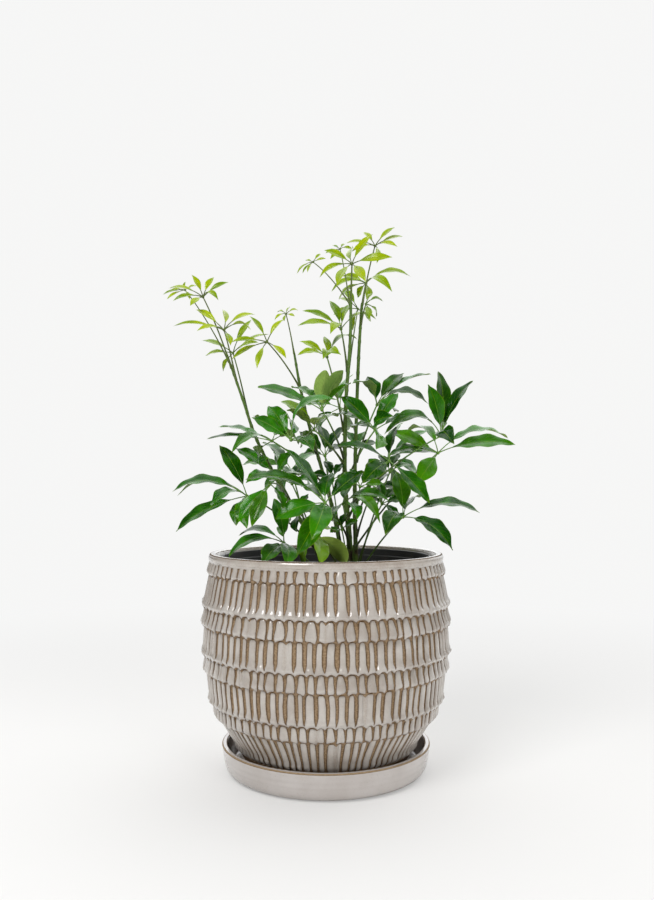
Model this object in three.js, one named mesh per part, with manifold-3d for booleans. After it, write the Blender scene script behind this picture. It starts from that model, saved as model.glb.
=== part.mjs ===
// A potted umbrella plant: a carved stoneware pot on its saucer, a grower's pot of soil inside it,
// four woody canes, and palmate leaves whose leaflets spread from the end of a long leaf stalk.
// Millimetres, +Z up. The origin is on the ground under the pot's axis, and the front is towards -Y.
import * as THREE from "three";
import { mergeVertices } from "three/addons/utils/BufferGeometryUtils.js";
import Module from "manifold-3d";

const wasm = await Module();
wasm.setup();

// Clear distance between pieces that rest on or grow from each other
const SEAT_GAP = 0.3;

// Height of the ground in the tables and sizes below, which start from a level 10.5 mm under it. All that
// they give is set down by it.
const GROUND_Z = 10.5;

// Saucer
const SAUCER_FOOT_RADIUS = 86;
const SAUCER_CORNER_RADIUS = 11;
const SAUCER_RIM_RADIUS = 103.2;
const SAUCER_RIM_Z = 38;
const SAUCER_WALL = 5.5;
const SAUCER_FLOOR_Z = 15;
const SAUCER_SIDES = 30;

// Pot, standing on the saucer's floor
const POT_FOOT_Z = SAUCER_FLOOR_Z;
const POT_RIM_Z = 224;
const POT_FLOOR_Z = 23;
const POT_DRAIN_RADIUS = 11;
const POT_LIP_ROUND = 2.5;
const POT_COLUMNS = 84;
const POT_PLAIN_SIDES = 42;
const POT_CAVITY_SIDES = 28;
const GROOVE_DEPTH = 1.4;
const BAND_STEP = 2.3;
// How far up a band its petals swell most, as a share of its height
const BAND_SWELL = 0.14;
// Outer radius over the petals, from the rim down: [height, radius]
const POT_OUTLINE = [
  [POT_RIM_Z, 115.4],
  [217, 116.4],
  [204, 119],
  [173, 123],
  [155, 123.6],
  [127, 123],
  [110, 121.4],
  [80, 115.6],
  [64.6, 109],
  [38, 91],
  [POT_FOOT_Z, 78],
];
// Inside of the pot, from its floor up: [radius, height]
const POT_INSIDE = [
  [68, POT_FLOOR_Z],
  [97, 66],
  [108, 112],
  [108.5, 196],
  [107, POT_RIM_Z - POT_LIP_ROUND],
  [109.5, POT_RIM_Z],
];
// Carved bands, as the heights of their upper and lower edges
const BANDS = [
  [217, 204],
  [204, 173],
  [173, 155],
  [155, 127],
  [127, 110],
  [110, 80],
  [80, 64.6],
  [64.6, 26],
];

// Grower's pot, standing on the pot's floor
const GROWER_FLOOR_Z = 25;
const GROWER_TOP_Z = 221;
const GROWER_COLLAR_Z = 201;
const GROWER_FOOT_RADIUS = 66;
const GROWER_NECK_RADIUS = 97;
const GROWER_COLLAR_RADIUS = 104;
const GROWER_WALL = 2;
const GROWER_DRAIN_RADIUS = 8;
const GROWER_SIDES = 28;

// Soil
const SOIL_EDGE_Z = 180;
const SOIL_MOUND = 6;
const SOIL_SHOULDER = 0.6;
const SOIL_SIDES = 30;

// Viewpoint that the plant's places are given from, straight in front of the pot
const EYE_DISTANCE = 810;
const EYE_HEIGHT = 287;
const EYE = new THREE.Vector3(0, -EYE_DISTANCE, EYE_HEIGHT);
const UP = new THREE.Vector3(0, 0, 1);
// The depths in the tables are widened by this, so that the plant is about as full from the sides
const DEPTH_SPREAD = 1.4;

// Leaves
const BLADE_THICKNESS = 1.3;
const BLADE_FOLD = 0.2;
const STALK_SHARE = 0.18;
const STALK_THICKNESS = 1.5;
const STALK_ROOT = 1.2;
// Leaves narrower than these are slighter in all their parts, and have fewer faces
const NARROW_LEAF = 8;
const SMALL_LEAF = 12;
const NARROW_SCALE = 0.7;
// Blade outline, from its stalk to its tip: [share of the blade's length, share of its width]
const BLADE_OUTLINE = [
  [0.2, 0.62],
  [0.5, 1],
  [0.82, 0.62],
];
const SMALL_OUTLINE = [
  [0.3, 0.82],
  [0.7, 0.78],
];
const HUB_RADIUS = 2.6;
const NARROW_HUB_RADIUS = 1.9;
const PETIOLE_BASE_RADIUS = 1.6;
const PETIOLE_TIP_RADIUS = 1.1;
const PETIOLE_SIDES = 4;
const PETIOLE_STEPS = 3;
const PETIOLE_LIFT = 0.05;
const STEM_SIDES = 6;
const STEM_STEP = 32;
// Faces smaller than this are merged where the parts of a leaf join
const MERGE_SIZE = 0.15;

const COLOURS = {
  glaze: new THREE.MeshStandardMaterial({ color: 0xc3bdb4, roughness: 0.25 }),
  grower: new THREE.MeshStandardMaterial({ color: 0x3c3c3e, roughness: 0.55 }),
  soil: new THREE.MeshStandardMaterial({ color: 0x3a2c21, roughness: 0.95 }),
  bark: new THREE.MeshStandardMaterial({ color: 0x7d7a4e, roughness: 0.8 }),
  mature: new THREE.MeshStandardMaterial({ color: 0x3f7326, roughness: 0.35 }),
  young: new THREE.MeshStandardMaterial({ color: 0x96b032, roughness: 0.4 }),
};

// Canes. Each point is [x, z, depth, radius]: x to the right and z up as seen, and its depth behind the axis.
const STEMS = {
  trunk: [
    [27, 154, 2, 3.3],
    [25, 201, 2, 3.2],
    [23, 241, 1, 2.9],
    [19, 291, 0, 2.3],
    [19, 336, -1, 2],
    [20, 376, -2, 1.8],
    [24, 431, -3, 1.6],
    [25, 476, -4, 1.3],
  ],
  second: [
    [36, 154, 16, 2.6],
    [31, 201, 15, 2.5],
    [29, 256, 13, 2.2],
    [29, 306, 12, 1.9],
    [31, 376, 11, 1.75],
    [33, 426, 10, 1.6],
    [36, 474, 9, 1.3],
  ],
  middle: [
    [21, 154, 20, 2.6],
    [17, 211, 19, 2.4],
    [8, 261, 17, 2.1],
    [-4, 306, 15, 1.8],
    [-17, 351, 13, 1.6],
    [-26, 390, 11, 1.4],
    [-32, 424, 9, 1.1],
  ],
  left: [
    [5, 154, 30, 2.8],
    [-2, 206, 28, 2.6],
    [-20, 246, 25, 2.3],
    [-38, 276, 22, 2],
    [-50, 298, 20, 1.8],
    [-70, 338, 16, 1.6],
    [-83, 376, 13, 1.4],
    [-100, 424, 10, 1.1],
  ],
};

// Palmate leaves. stem and from say which cane a leaf stalk grows from and at what height, hub is the point
// that its leaflets spread from, [x, z, depth] as seen, and width is their true width.
// A leaflet is [x, z, depth, shown, arch]: its tip as seen, how far the tip lies behind the hub, the width
// that it shows to the front (less than 0 where its underside does), and its arch as a share of its length.
const LEAVES = [
  {
    name: "left_tip",
    stem: "left",
    from: 416,
    hub: [-141, 486, 14],
    width: 6,
    young: true,
    leaflets: [
      [-164, 482, 0, 3, 0.08],
      [-160, 477, -6, 3.5, 0.08],
      [-157, 486, 6, 3, 0.08],
      [-141, 495, 4, 4, 0.08],
      [-129, 491, 6, 3, 0.08],
      [-136, 477, -8, 5, 0.08],
    ],
  },
  {
    name: "left_high",
    stem: "left",
    from: 410,
    hub: [-123, 479, 2],
    width: 10,
    young: true,
    leaflets: [
      [-134, 502, -4, 8, 0.08],
      [-112, 500, 6, 8, 0.08],
      [-97, 495, 2, 6.5, 0.08],
      [-136, 471, -14, 7, 0.08],
      [-159, 489, 6, 5, 0.12],
      [-154, 476, -8, 5, 0.12],
      [-107, 476, -10, 4.5, 0.3],
    ],
  },
  {
    name: "left_upper",
    stem: "left",
    from: 398,
    hub: [-102, 446, -8],
    width: 11,
    leaflets: [
      [-154, 452, 4, 5, 0.08],
      [-130, 446, -14, 5, 0.15],
      [-131, 468, 8, 9, 0.08],
      [-102, 468, 18, 9, 0.08],
      [-70, 463, 4, 6, 0.15],
      [-74, 447, -14, -5, 0.2],
      [-95, 431, -12, 8, 0.08],
    ],
  },
  {
    name: "left_lower",
    stem: "left",
    from: 364,
    hub: [-93, 423, 18],
    width: 11,
    leaflets: [
      [-125, 437, 6, 6, 0.08],
      [-122, 421, 8, 5, 0.08],
      [-75, 458, 8, 8, 0.08],
      [-56, 444, 14, 4, 0.08],
      [-68, 435, -16, 4, 0.08],
      [-104, 404, 12, 6, 0.08],
    ],
  },
  {
    name: "centre_tip",
    stem: "middle",
    from: 424,
    hub: [-40, 462, 4],
    width: 5,
    young: true,
    leaflets: [
      [-52, 456, -4, 3, 0.2],
      [-49, 464, 6, 2.5, 0.2],
      [-42, 455, -7, 3.5, 0.08],
      [-31, 460, -3, 3.5, 0.08],
      [-27, 466, 4, 3, 0.2],
      [-36, 470, 7, 2.5, 0.08],
    ],
  },
  {
    name: "centre_high",
    stem: "middle",
    from: 390,
    hub: [-59, 434, -14],
    width: 11,
    young: true,
    leaflets: [
      [-76, 461, 0, 7, 0.08],
      [-96, 435, -6, 6, 0.08],
      [-96, 417, 4, 7, 0.08],
      [-70, 408, -14, 8, 0.08],
      [-39, 418, -6, 7.5, 0.08],
      [-42, 458, 4, 6.5, 0.08],
    ],
  },
  {
    name: "right_tip",
    stem: "trunk",
    from: 470,
    hub: [-13, 514, 22],
    width: 5,
    young: true,
    leaflets: [
      [-30, 502, -2, 2.5, 0.15],
      [-24, 503, -6, 2.5, 0.08],
      [-19, 504, -8, 3, 0.08],
      [-21, 516, 4, 2.5, 0.08],
      [-5, 523, 5, 4, 0.08],
      [0, 518, -5, 3, 0.08],
    ],
  },
  {
    name: "right_bud",
    stem: "trunk",
    from: 464,
    hub: [14, 527, 26],
    width: 6,
    young: true,
    leaflets: [
      [27, 527, -2, 4, 0.2],
      [4, 517, -8, 5.5, 0.08],
      [6, 531, 4, 3, 0.08],
      [-1, 523, 0, 4, 0.08],
      [19, 533, 6, 4, 0.08],
    ],
  },
  {
    name: "right_crown",
    stem: "trunk",
    from: 476,
    hub: [26, 512, -14],
    width: 14,
    leaflets: [
      [-2, 527, -4, 9, 0.08],
      [-8, 499, 2, 7, 0.15],
      [10, 491, -20, 9, 0.08],
      [46, 543, -12, 9, 0.08],
      [67, 520, -8, 11, 0.1],
      [40, 495, -20, 13, 0.08],
      [26, 530, 22, 9, 0.08],
    ],
  },
  {
    name: "right_top",
    stem: "second",
    from: 474,
    hub: [49, 530, 16],
    width: 10,
    leaflets: [
      [69, 550, 0, 6, 0.08],
      [78, 541, 6, 5, 0.08],
      [72, 530, -12, 5, 0.15],
      [37, 545, 10, 7, 0.08],
      [19, 534, 6, 4.5, 0.1],
      [25, 525, -12, 6, 0.12],
      [52, 514, -26, 7, 0.08],
    ],
  },
  {
    name: "right_high",
    stem: "second",
    from: 470,
    hub: [40, 493, 30],
    width: 13,
    leaflets: [
      [86, 501, -4, 6, 0.2],
      [67, 485, -22, 8, 0.25],
      [41, 477, -10, 10, 0.1],
      [4, 485, 0, 6, 0.2],
      [11, 476, 12, 6, 0.15],
      [15, 501, 8, 9, 0.08],
      [31, 478, 8, 8, 0.08],
    ],
  },
  {
    name: "right_small",
    stem: "second",
    from: 454,
    hub: [40, 472, 2],
    width: 9,
    leaflets: [
      [58, 475, 2, 3.5, 0.25],
      [43, 458, -14, 8, 0.08],
      [51, 459, 10, 3.5, 0.2],
      [47, 484, 8, 5, 0.08],
    ],
  },
  {
    name: "right_inner",
    stem: "trunk",
    from: 380,
    hub: [32, 467, 50],
    width: 11,
    leaflets: [
      [16, 488, 6, 9, 0.08],
      [7, 462, -8, 6, 0.1],
      [12, 479, 14, 6, 0.08],
      [46, 454, 12, 7, 0.08],
      [26, 445, 8, 7, 0.08],
    ],
  },
  {
    name: "mid_high",
    stem: "trunk",
    from: 404,
    hub: [15, 447, 6],
    width: 13,
    leaflets: [
      [-24, 467, -6, 7, 0.1],
      [-29, 452, -14, 6, 0.12],
      [4, 443, -26, 7, 0.2],
      [4, 477, 10, 10, 0.08],
      [25, 475, 14, 8, 0.08],
      [51, 459, 32, 4, 0.15],
    ],
  },
  {
    name: "mid_small",
    stem: "trunk",
    from: 344,
    hub: [1, 419, 4],
    width: 13,
    leaflets: [
      [-27, 436, 2, 8, 0.1],
      [-29, 422, -12, 6, 0.15],
      [-3, 418, -26, 7, 0.2],
      [-1, 441, 10, 10, 0.08],
      [32, 439, 26, 6, 0.2],
      [15, 422, -22, 6, 0.2],
    ],
  },
  {
    name: "mid_pair",
    stem: "trunk",
    from: 318,
    hub: [-4, 366, -26],
    width: 18,
    leaflets: [
      [-1, 406, 6, -17, 0.08],
      [16, 406, 12, -14, 0.08],
      [-68, 392, -8, 9, 0.05],
      [-34, 391, 14, 8, 0.1],
      [24, 395, 6, 5, 0.05],
      [-16, 388, 30, 11, 0.08],
    ],
  },
  {
    name: "mid_olive",
    stem: "trunk",
    from: 313,
    hub: [-12, 346, -10],
    width: 17,
    leaflets: [
      [-45, 377, 10, 11, 0.1],
      [-39, 368, -14, -9, 0.1],
      [-3, 360, -34, -11, 0.1],
      [12, 362, 28, 8, 0.1],
      [-26, 330, 26, 9, 0.08],
    ],
  },
  {
    name: "mid_bright",
    stem: "middle",
    from: 324,
    hub: [-35, 336, -34],
    width: 18,
    leaflets: [
      [-74, 360, -6, 13, 0.05],
      [-58, 372, 14, 17, 0.08],
      [14, 379, -10, 6, 0.3],
      [-38, 361, 30, 9, 0.08],
      [-72, 363, 30, 4, 0.05],
      [-64, 352, 12, 9, 0.08],
      [-12, 326, -24, 9, 0.15],
    ],
  },
  {
    name: "mid_left",
    stem: "middle",
    from: 290,
    hub: [-54, 335, -2],
    width: 16,
    leaflets: [
      [-108, 352, 12, 5, 0.05],
      [-120, 340, 2, 4, 0.05],
      [-96, 324, -20, 7, 0.25],
      [-59, 317, -34, -8, 0.25],
      [-26, 332, -12, -8, 0.3],
      [-56, 356, 44, 8, 0.08],
    ],
  },
  {
    name: "back_centre",
    stem: "middle",
    from: 276,
    hub: [-1, 320, 42],
    width: 17,
    leaflets: [
      [-27, 346, 6, 13, 0.08],
      [-6, 353, 16, 13, 0.08],
      [21, 352, 4, 9, 0.08],
      [-23, 323, -4, 7, 0.1],
      [20, 332, 16, 8, 0.08],
      [0, 298, 34, 9, 0.08],
    ],
  },
  {
    name: "fan_high",
    stem: "second",
    from: 314,
    hub: [51, 371, 14],
    width: 18,
    leaflets: [
      [42, 401, 8, 15, 0.08],
      [26, 395, -26, -9, 0.2],
      [78, 405, 12, 13, 0.08],
      [105, 405, 4, 4, 0.1],
      [104, 374, -14, 6, 0.25],
      [70, 366, 36, 10, 0.08],
    ],
  },
  {
    name: "fan_mid",
    stem: "trunk",
    from: 294,
    hub: [49, 346, -22],
    width: 18,
    leaflets: [
      [15, 381, 0, 15, 0.08],
      [72, 385, 6, 14, 0.08],
      [66, 361, -30, 10, 0.15],
      [4, 364, 16, 6, 0.1],
      [25, 350, 30, 9, 0.1],
      [99, 365, 24, 5, 0.05],
      [52, 328, -36, 9, 0.08],
    ],
  },
  {
    name: "right_fan",
    stem: "trunk",
    from: 269,
    hub: [115, 340, -14],
    width: 18,
    leaflets: [
      [103, 393, -6, 15, 0.08],
      [114, 407, 10, 14, 0.08],
      [146, 398, 2, 11, 0.08],
      [56, 343, -12, 9, 0.35],
      [128, 333, -32, 15, 0.2],
      [107, 365, 32, 8, 0.1],
    ],
  },
  {
    name: "right_wide",
    stem: "trunk",
    from: 224,
    hub: [112, 323, 8],
    width: 20,
    leaflets: [
      [191, 334, -12, 13, 0.1],
      [184, 341, 14, 7, 0.18],
      [64, 346, 4, 14, 0.05],
      [62, 323, -2, 9, 0.1],
      [91, 293, -24, 20, 0.05],
      [81, 347, 26, 8, 0.25],
    ],
  },
  {
    name: "right_mid",
    stem: "trunk",
    from: 260,
    hub: [63, 315, -26],
    width: 18,
    leaflets: [
      [105, 274, -14, 14, 0.05],
      [37, 294, -26, 17, 0.1],
      [11, 332, -8, 6, 0.1],
      [70, 351, 10, 10, 0.05],
    ],
  },
  {
    name: "right_low",
    stem: "trunk",
    from: 193,
    hub: [77, 259, -20],
    width: 20,
    leaflets: [
      [156, 266, -6, 9, 0.15],
      [129, 226, -20, 14, 0.18],
      [71, 306, 12, 18, 0.08],
      [59, 242, -34, 16, 0.2],
      [94, 282, 44, 10, 0.08],
    ],
  },
  {
    name: "centre_low",
    stem: "trunk",
    from: 228,
    hub: [17, 272, -30],
    width: 15,
    leaflets: [
      [32, 257, -20, 7, 0.2],
      [64, 277, -14, 7, 0.2],
      [56, 253, -26, 8, 0.3],
      [27, 294, 20, 9, 0.08],
      [5, 256, -30, 7, 0.08],
    ],
  },
  {
    name: "right_back",
    stem: "second",
    from: 238,
    hub: [48, 288, 26],
    width: 16,
    leaflets: [
      [63, 304, 16, 9, 0.08],
      [75, 288, -4, 8, 0.1],
      [71, 275, -8, 8, 0.1],
      [26, 271, 4, 9, 0.1],
      [34, 306, 22, 9, 0.08],
      [54, 276, 40, 9, 0.08],
    ],
  },
  {
    name: "low_front",
    stem: "trunk",
    from: 236,
    hub: [-1, 273, -46],
    width: 22,
    leaflets: [
      [-29, 221, -26, 22, 0.12],
      [-14, 237, -38, 22, 0.15],
      [-52, 258, -8, 16, 0.12],
      [-82, 300, -6, 9, 0.15],
      [-39, 330, 4, 10, 0.05],
      [5, 305, 14, 15, 0.08],
      [38, 307, 10, 15, 0.05],
      [-23, 293, 30, 14, 0.08],
    ],
  },
  {
    name: "low_left",
    stem: "left",
    from: 188,
    hub: [-42, 233, -30],
    width: 18,
    leaflets: [
      [-100, 220, -8, 9, 0.22],
      [-64, 213, -26, 15, 0.1],
      [-39, 211, -30, 15, 0.12],
      [-89, 242, 8, 7, 0.2],
      [-51, 279, 8, 15, 0.08],
      [-37, 259, 26, 12, 0.08],
    ],
  },
  {
    name: "left_wide",
    stem: "left",
    from: 228,
    hub: [-79, 280, -14],
    width: 18,
    leaflets: [
      [-156, 287, -2, 9, 0.18],
      [-151, 283, 14, 4, 0.2],
      [-117, 268, -20, 8, 0.25],
      [-91, 251, -22, 13, 0.1],
      [-80, 248, -34, 16, 0.15],
      [-153, 246, 2, 11, 0.08],
      [-106, 333, 10, 15, 0.08],
    ],
  },
  {
    name: "left_inner",
    stem: "left",
    from: 264,
    hub: [-49, 299, 0],
    width: 17,
    leaflets: [
      [-92, 330, 6, 12, 0.08],
      [-50, 326, 20, 11, 0.08],
      [-35, 325, -8, 10, 0.08],
      [-80, 295, -28, 9, 0.1],
      [-26, 302, 32, 9, 0.1],
    ],
  },
  {
    name: "low_pale",
    stem: "middle",
    from: 196,
    hub: [-15, 243, -44],
    width: 20,
    leaflets: [
      [23, 213, -16, -18, 0.15],
      [-4, 215, -30, 12, 0.1],
      [9, 245, 12, 9, 0.2],
      [-23, 210, 8, 10, 0.1],
    ],
  },
  {
    name: "back_left",
    stem: "left",
    from: 246,
    hub: [-35, 306, 66],
    width: 18,
    leaflets: [
      [-86, 313, 18, 10, 0.1],
      [-64, 284, 30, 12, 0.1],
      [-44, 276, 46, 14, 0.1],
      [-16, 292, 42, 12, 0.1],
      [-64, 336, 26, 10, 0.08],
      [-8, 324, 24, 9, 0.08],
    ],
  },
  {
    name: "back_right",
    stem: "second",
    from: 256,
    hub: [62, 318, 66],
    width: 18,
    leaflets: [
      [114, 324, 16, 10, 0.1],
      [94, 298, 34, 12, 0.1],
      [66, 282, 44, 14, 0.1],
      [38, 300, 42, 12, 0.1],
      [76, 356, 30, 10, 0.08],
      [104, 348, 10, 9, 0.08],
    ],
  },
  {
    name: "back_high",
    stem: "second",
    from: 346,
    hub: [14, 368, 60],
    width: 17,
    leaflets: [
      [-26, 372, 24, 10, 0.1],
      [-12, 344, 40, 12, 0.1],
      [18, 340, 46, 12, 0.1],
      [46, 352, 36, 10, 0.1],
      [26, 404, 28, 9, 0.08],
      [-4, 400, 26, 10, 0.08],
    ],
  },
];

// Solids

function solidOf(geometry) {
  const bare = geometry.clone();
  bare.deleteAttribute("normal");
  bare.deleteAttribute("uv");
  const merged = mergeVertices(bare, 1e-4);
  return new wasm.Manifold(
    new wasm.Mesh({
      numProp: 3,
      vertProperties: new Float32Array(merged.attributes.position.array),
      triVerts: new Uint32Array(merged.index.array),
    }),
  );
}

function geometryOf(solid) {
  const mesh = solid.getMesh();
  const geometry = new THREE.BufferGeometry();
  geometry.setAttribute("position", new THREE.BufferAttribute(mesh.vertProperties, 3));
  geometry.setIndex(new THREE.BufferAttribute(mesh.triVerts, 1));
  geometry.computeVertexNormals();
  return geometry;
}

function joined(solids) {
  return solids.reduce((whole, piece) => whole.add(piece));
}

function namedMesh(name, geometry, material) {
  const mesh = new THREE.Mesh(geometry, material);
  mesh.name = name;
  return mesh;
}

// Triangles between two rings, whose points start at low and high. Rings with as many points are joined by
// quads split by mirrored diagonals, so that both faces of a thin blade fold alike. Otherwise each point of
// the ring with fewer points fans out to its share of the other's.
function strip(low, lowCount, high, highCount) {
  const faces = [];
  const fewer = Math.min(lowCount, highCount);
  const more = Math.max(lowCount, highCount);
  for (let k = 0; k < more; k++) {
    const next = (k + 1) % more;
    const own = Math.floor((k * fewer) / more);
    const following = (own + 1) % fewer;
    const lastOfShare = fewer > 1 && next % (more / fewer) === 0;
    if (fewer === more && k % 2 === 0) {
      faces.push(low + k, low + next, high + next, low + k, high + next, high + k);
    } else if (fewer === more) {
      faces.push(low + k, low + next, high + k, low + next, high + next, high + k);
    } else if (lowCount === fewer) {
      faces.push(low + own, high + next, high + k);
      if (lastOfShare) faces.push(low + own, low + following, high + next);
    } else {
      faces.push(low + k, low + next, high + own);
      if (lastOfShare) faces.push(low + next, high + following, high + own);
    }
  }
  return faces;
}

// A closed skin over a row of rings. It ends in flat caps, or in the point of an end ring that has only one.
function loft(rings) {
  const points = rings.flat();
  const faces = [];
  let low = 0;
  for (let r = 0; r + 1 < rings.length; r++) {
    const high = low + rings[r].length;
    faces.push(...strip(low, rings[r].length, high, rings[r + 1].length));
    low = high;
  }
  for (let k = 1; k + 1 < rings[0].length; k++) faces.push(0, k + 1, k);
  for (let k = 1; k + 1 < rings.at(-1).length; k++) faces.push(low, low + k, low + k + 1);
  const geometry = new THREE.BufferGeometry().setFromPoints(points);
  geometry.setIndex(facingOut(points, faces));
  return geometry;
}

// The same faces, turned round if they enclose a negative volume.
function facingOut(points, faces) {
  let volume = 0;
  const cross = new THREE.Vector3();
  for (let f = 0; f < faces.length; f += 3) {
    cross.crossVectors(points[faces[f + 1]], points[faces[f + 2]]);
    volume += points[faces[f]].dot(cross);
  }
  return volume < 0 ? faces.toReversed() : faces;
}

// A tube with its own radius at each point of its centre line.
function taperedTube(centres, radii, sides) {
  const rings = centres.map((centre, i) => {
    const before = centres[Math.max(i - 1, 0)];
    const after = centres[Math.min(i + 1, centres.length - 1)];
    const along = after.clone().sub(before).normalize();
    const side = Math.abs(along.y) < 0.9 ? new THREE.Vector3(0, 1, 0) : new THREE.Vector3(1, 0, 0);
    const a = side.cross(along).normalize();
    const b = along.clone().cross(a);
    return Array.from({ length: sides }, (_, k) => {
      const angle = (2 * Math.PI * k) / sides;
      return centre
        .clone()
        .addScaledVector(a, radii[i] * Math.cos(angle))
        .addScaledVector(b, radii[i] * Math.sin(angle));
    });
  });
  return loft(rings);
}

// Holder

function makeSaucer() {
  const wallBase = SAUCER_FOOT_RADIUS + SAUCER_CORNER_RADIUS;
  const rimMiddle = SAUCER_RIM_RADIUS - SAUCER_WALL / 2;
  const rimRoundZ = SAUCER_RIM_Z - SAUCER_WALL / 2;
  const profile = new THREE.Path();
  profile.moveTo(0, GROUND_Z);
  profile.lineTo(SAUCER_FOOT_RADIUS, GROUND_Z);
  profile.absarc(SAUCER_FOOT_RADIUS, GROUND_Z + SAUCER_CORNER_RADIUS, SAUCER_CORNER_RADIUS, -Math.PI / 2, 0);
  profile.lineTo(SAUCER_RIM_RADIUS, rimRoundZ);
  profile.absarc(rimMiddle, rimRoundZ, SAUCER_WALL / 2, 0, Math.PI);
  profile.lineTo(wallBase - SAUCER_WALL, SAUCER_FLOOR_Z + SAUCER_WALL);
  profile.lineTo(wallBase - 2 * SAUCER_WALL, SAUCER_FLOOR_Z);
  profile.lineTo(0, SAUCER_FLOOR_Z);
  return new THREE.LatheGeometry(profile.getPoints(2), SAUCER_SIDES).rotateX(Math.PI / 2);
}

// Radius of the pot's outline at a height, straight between the outline's points.
function outlineRadius(z) {
  const lower = POT_OUTLINE.findIndex(([height]) => height <= z);
  if (lower <= 0) return POT_OUTLINE[Math.max(lower, 0)][1];
  const [z0, r0] = POT_OUTLINE[lower];
  const [z1, r1] = POT_OUTLINE[lower - 1];
  return r0 + ((r1 - r0) * (z - z0)) / (z1 - z0);
}

// Angle of the middle of a band's groove. The grooves are cut by hand, so they are a little uneven, and
// each leans from its own place at the band's lower edge to the next band's at its upper edge.
function grooveAngle(band, column) {
  const uneven = 0.11 * Math.sin(2.4 * column + 1.7 * band) + 0.09 * Math.sin(5.3 * column + 2.9 * band);
  return ((column + uneven) * 2 * Math.PI) / POT_COLUMNS;
}

function onPot(radius, angle, z) {
  return new THREE.Vector3(radius * Math.cos(angle), radius * Math.sin(angle), z);
}

function plainRing(z, stepIn) {
  const angles = Array.from({ length: POT_PLAIN_SIDES }, (_, k) => (2 * Math.PI * k) / POT_PLAIN_SIDES);
  return angles.map((angle) => onPot(outlineRadius(z) - stepIn, angle, z));
}

// The lower edge of a band, drawn in over the band below, with a point at each groove.
function edgeRing(band, z, stepIn) {
  const angles = Array.from({ length: POT_COLUMNS }, (_, column) => grooveAngle(band, column));
  return angles.map((angle) => onPot(outlineRadius(z) - stepIn, angle, z));
}

// A ring through a band's grooves and petals by turns.
function petalRing(band, z) {
  const radius = outlineRadius(z);
  const ring = [];
  for (let column = 0; column < POT_COLUMNS; column++) {
    const here = grooveAngle(band, column);
    const next = column + 1 < POT_COLUMNS ? grooveAngle(band, column + 1) : grooveAngle(band, 0) + 2 * Math.PI;
    ring.push(onPot(radius - GROOVE_DEPTH, here, z), onPot(radius, (here + next) / 2, z));
  }
  return ring;
}

// Each carved band starts drawn in under the band above, and swells to its petals' rounded lower ends.
function makePot() {
  const rings = [plainRing(POT_FOOT_Z, 0)];
  for (let band = BANDS.length - 1; band >= 0; band--) {
    const [top, bottom] = BANDS[band];
    rings.push(edgeRing(band, bottom, BAND_STEP));
    rings.push(petalRing(band, bottom + BAND_SWELL * (top - bottom)));
  }
  rings.push(edgeRing(-1, BANDS[0][0], 0));
  rings.push(plainRing(POT_RIM_Z - POT_LIP_ROUND, 0));
  rings.push(plainRing(POT_RIM_Z, POT_LIP_ROUND));
  const cavity = [
    [0, POT_FOOT_Z - 1],
    [POT_DRAIN_RADIUS, POT_FOOT_Z - 1],
    [POT_DRAIN_RADIUS, POT_FLOOR_Z],
    ...POT_INSIDE,
    [POT_INSIDE.at(-1)[0], POT_RIM_Z + 1],
    [0, POT_RIM_Z + 1],
  ];
  const profile = cavity.map(([r, z]) => new THREE.Vector2(r, z));
  const inside = new THREE.LatheGeometry(profile, POT_CAVITY_SIDES).rotateX(Math.PI / 2);
  return geometryOf(solidOf(loft(rings)).subtract(solidOf(inside)));
}

function makeGrowerPot() {
  const profile = [
    [GROWER_DRAIN_RADIUS, POT_FLOOR_Z],
    [GROWER_FOOT_RADIUS, POT_FLOOR_Z],
    [GROWER_NECK_RADIUS, GROWER_COLLAR_Z],
    [GROWER_COLLAR_RADIUS, GROWER_COLLAR_Z + GROWER_WALL],
    [GROWER_COLLAR_RADIUS, GROWER_TOP_Z],
    [GROWER_COLLAR_RADIUS - GROWER_WALL, GROWER_TOP_Z],
    [GROWER_COLLAR_RADIUS - GROWER_WALL, GROWER_COLLAR_Z + 2 * GROWER_WALL],
    [GROWER_NECK_RADIUS - GROWER_WALL, GROWER_COLLAR_Z + GROWER_WALL],
    [GROWER_FOOT_RADIUS - GROWER_WALL, GROWER_FLOOR_Z],
    [GROWER_DRAIN_RADIUS, GROWER_FLOOR_Z],
    [GROWER_DRAIN_RADIUS, POT_FLOOR_Z],
  ];
  const points = profile.map(([r, z]) => new THREE.Vector2(r, z));
  return new THREE.LatheGeometry(points, GROWER_SIDES).rotateX(Math.PI / 2);
}

// Inner radius of the grower's pot at a height.
function growerInside(z) {
  const share = (z - GROWER_FLOOR_Z) / (GROWER_COLLAR_Z + GROWER_WALL - GROWER_FLOOR_Z);
  return GROWER_FOOT_RADIUS - GROWER_WALL + share * (GROWER_NECK_RADIUS - GROWER_FOOT_RADIUS);
}

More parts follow.
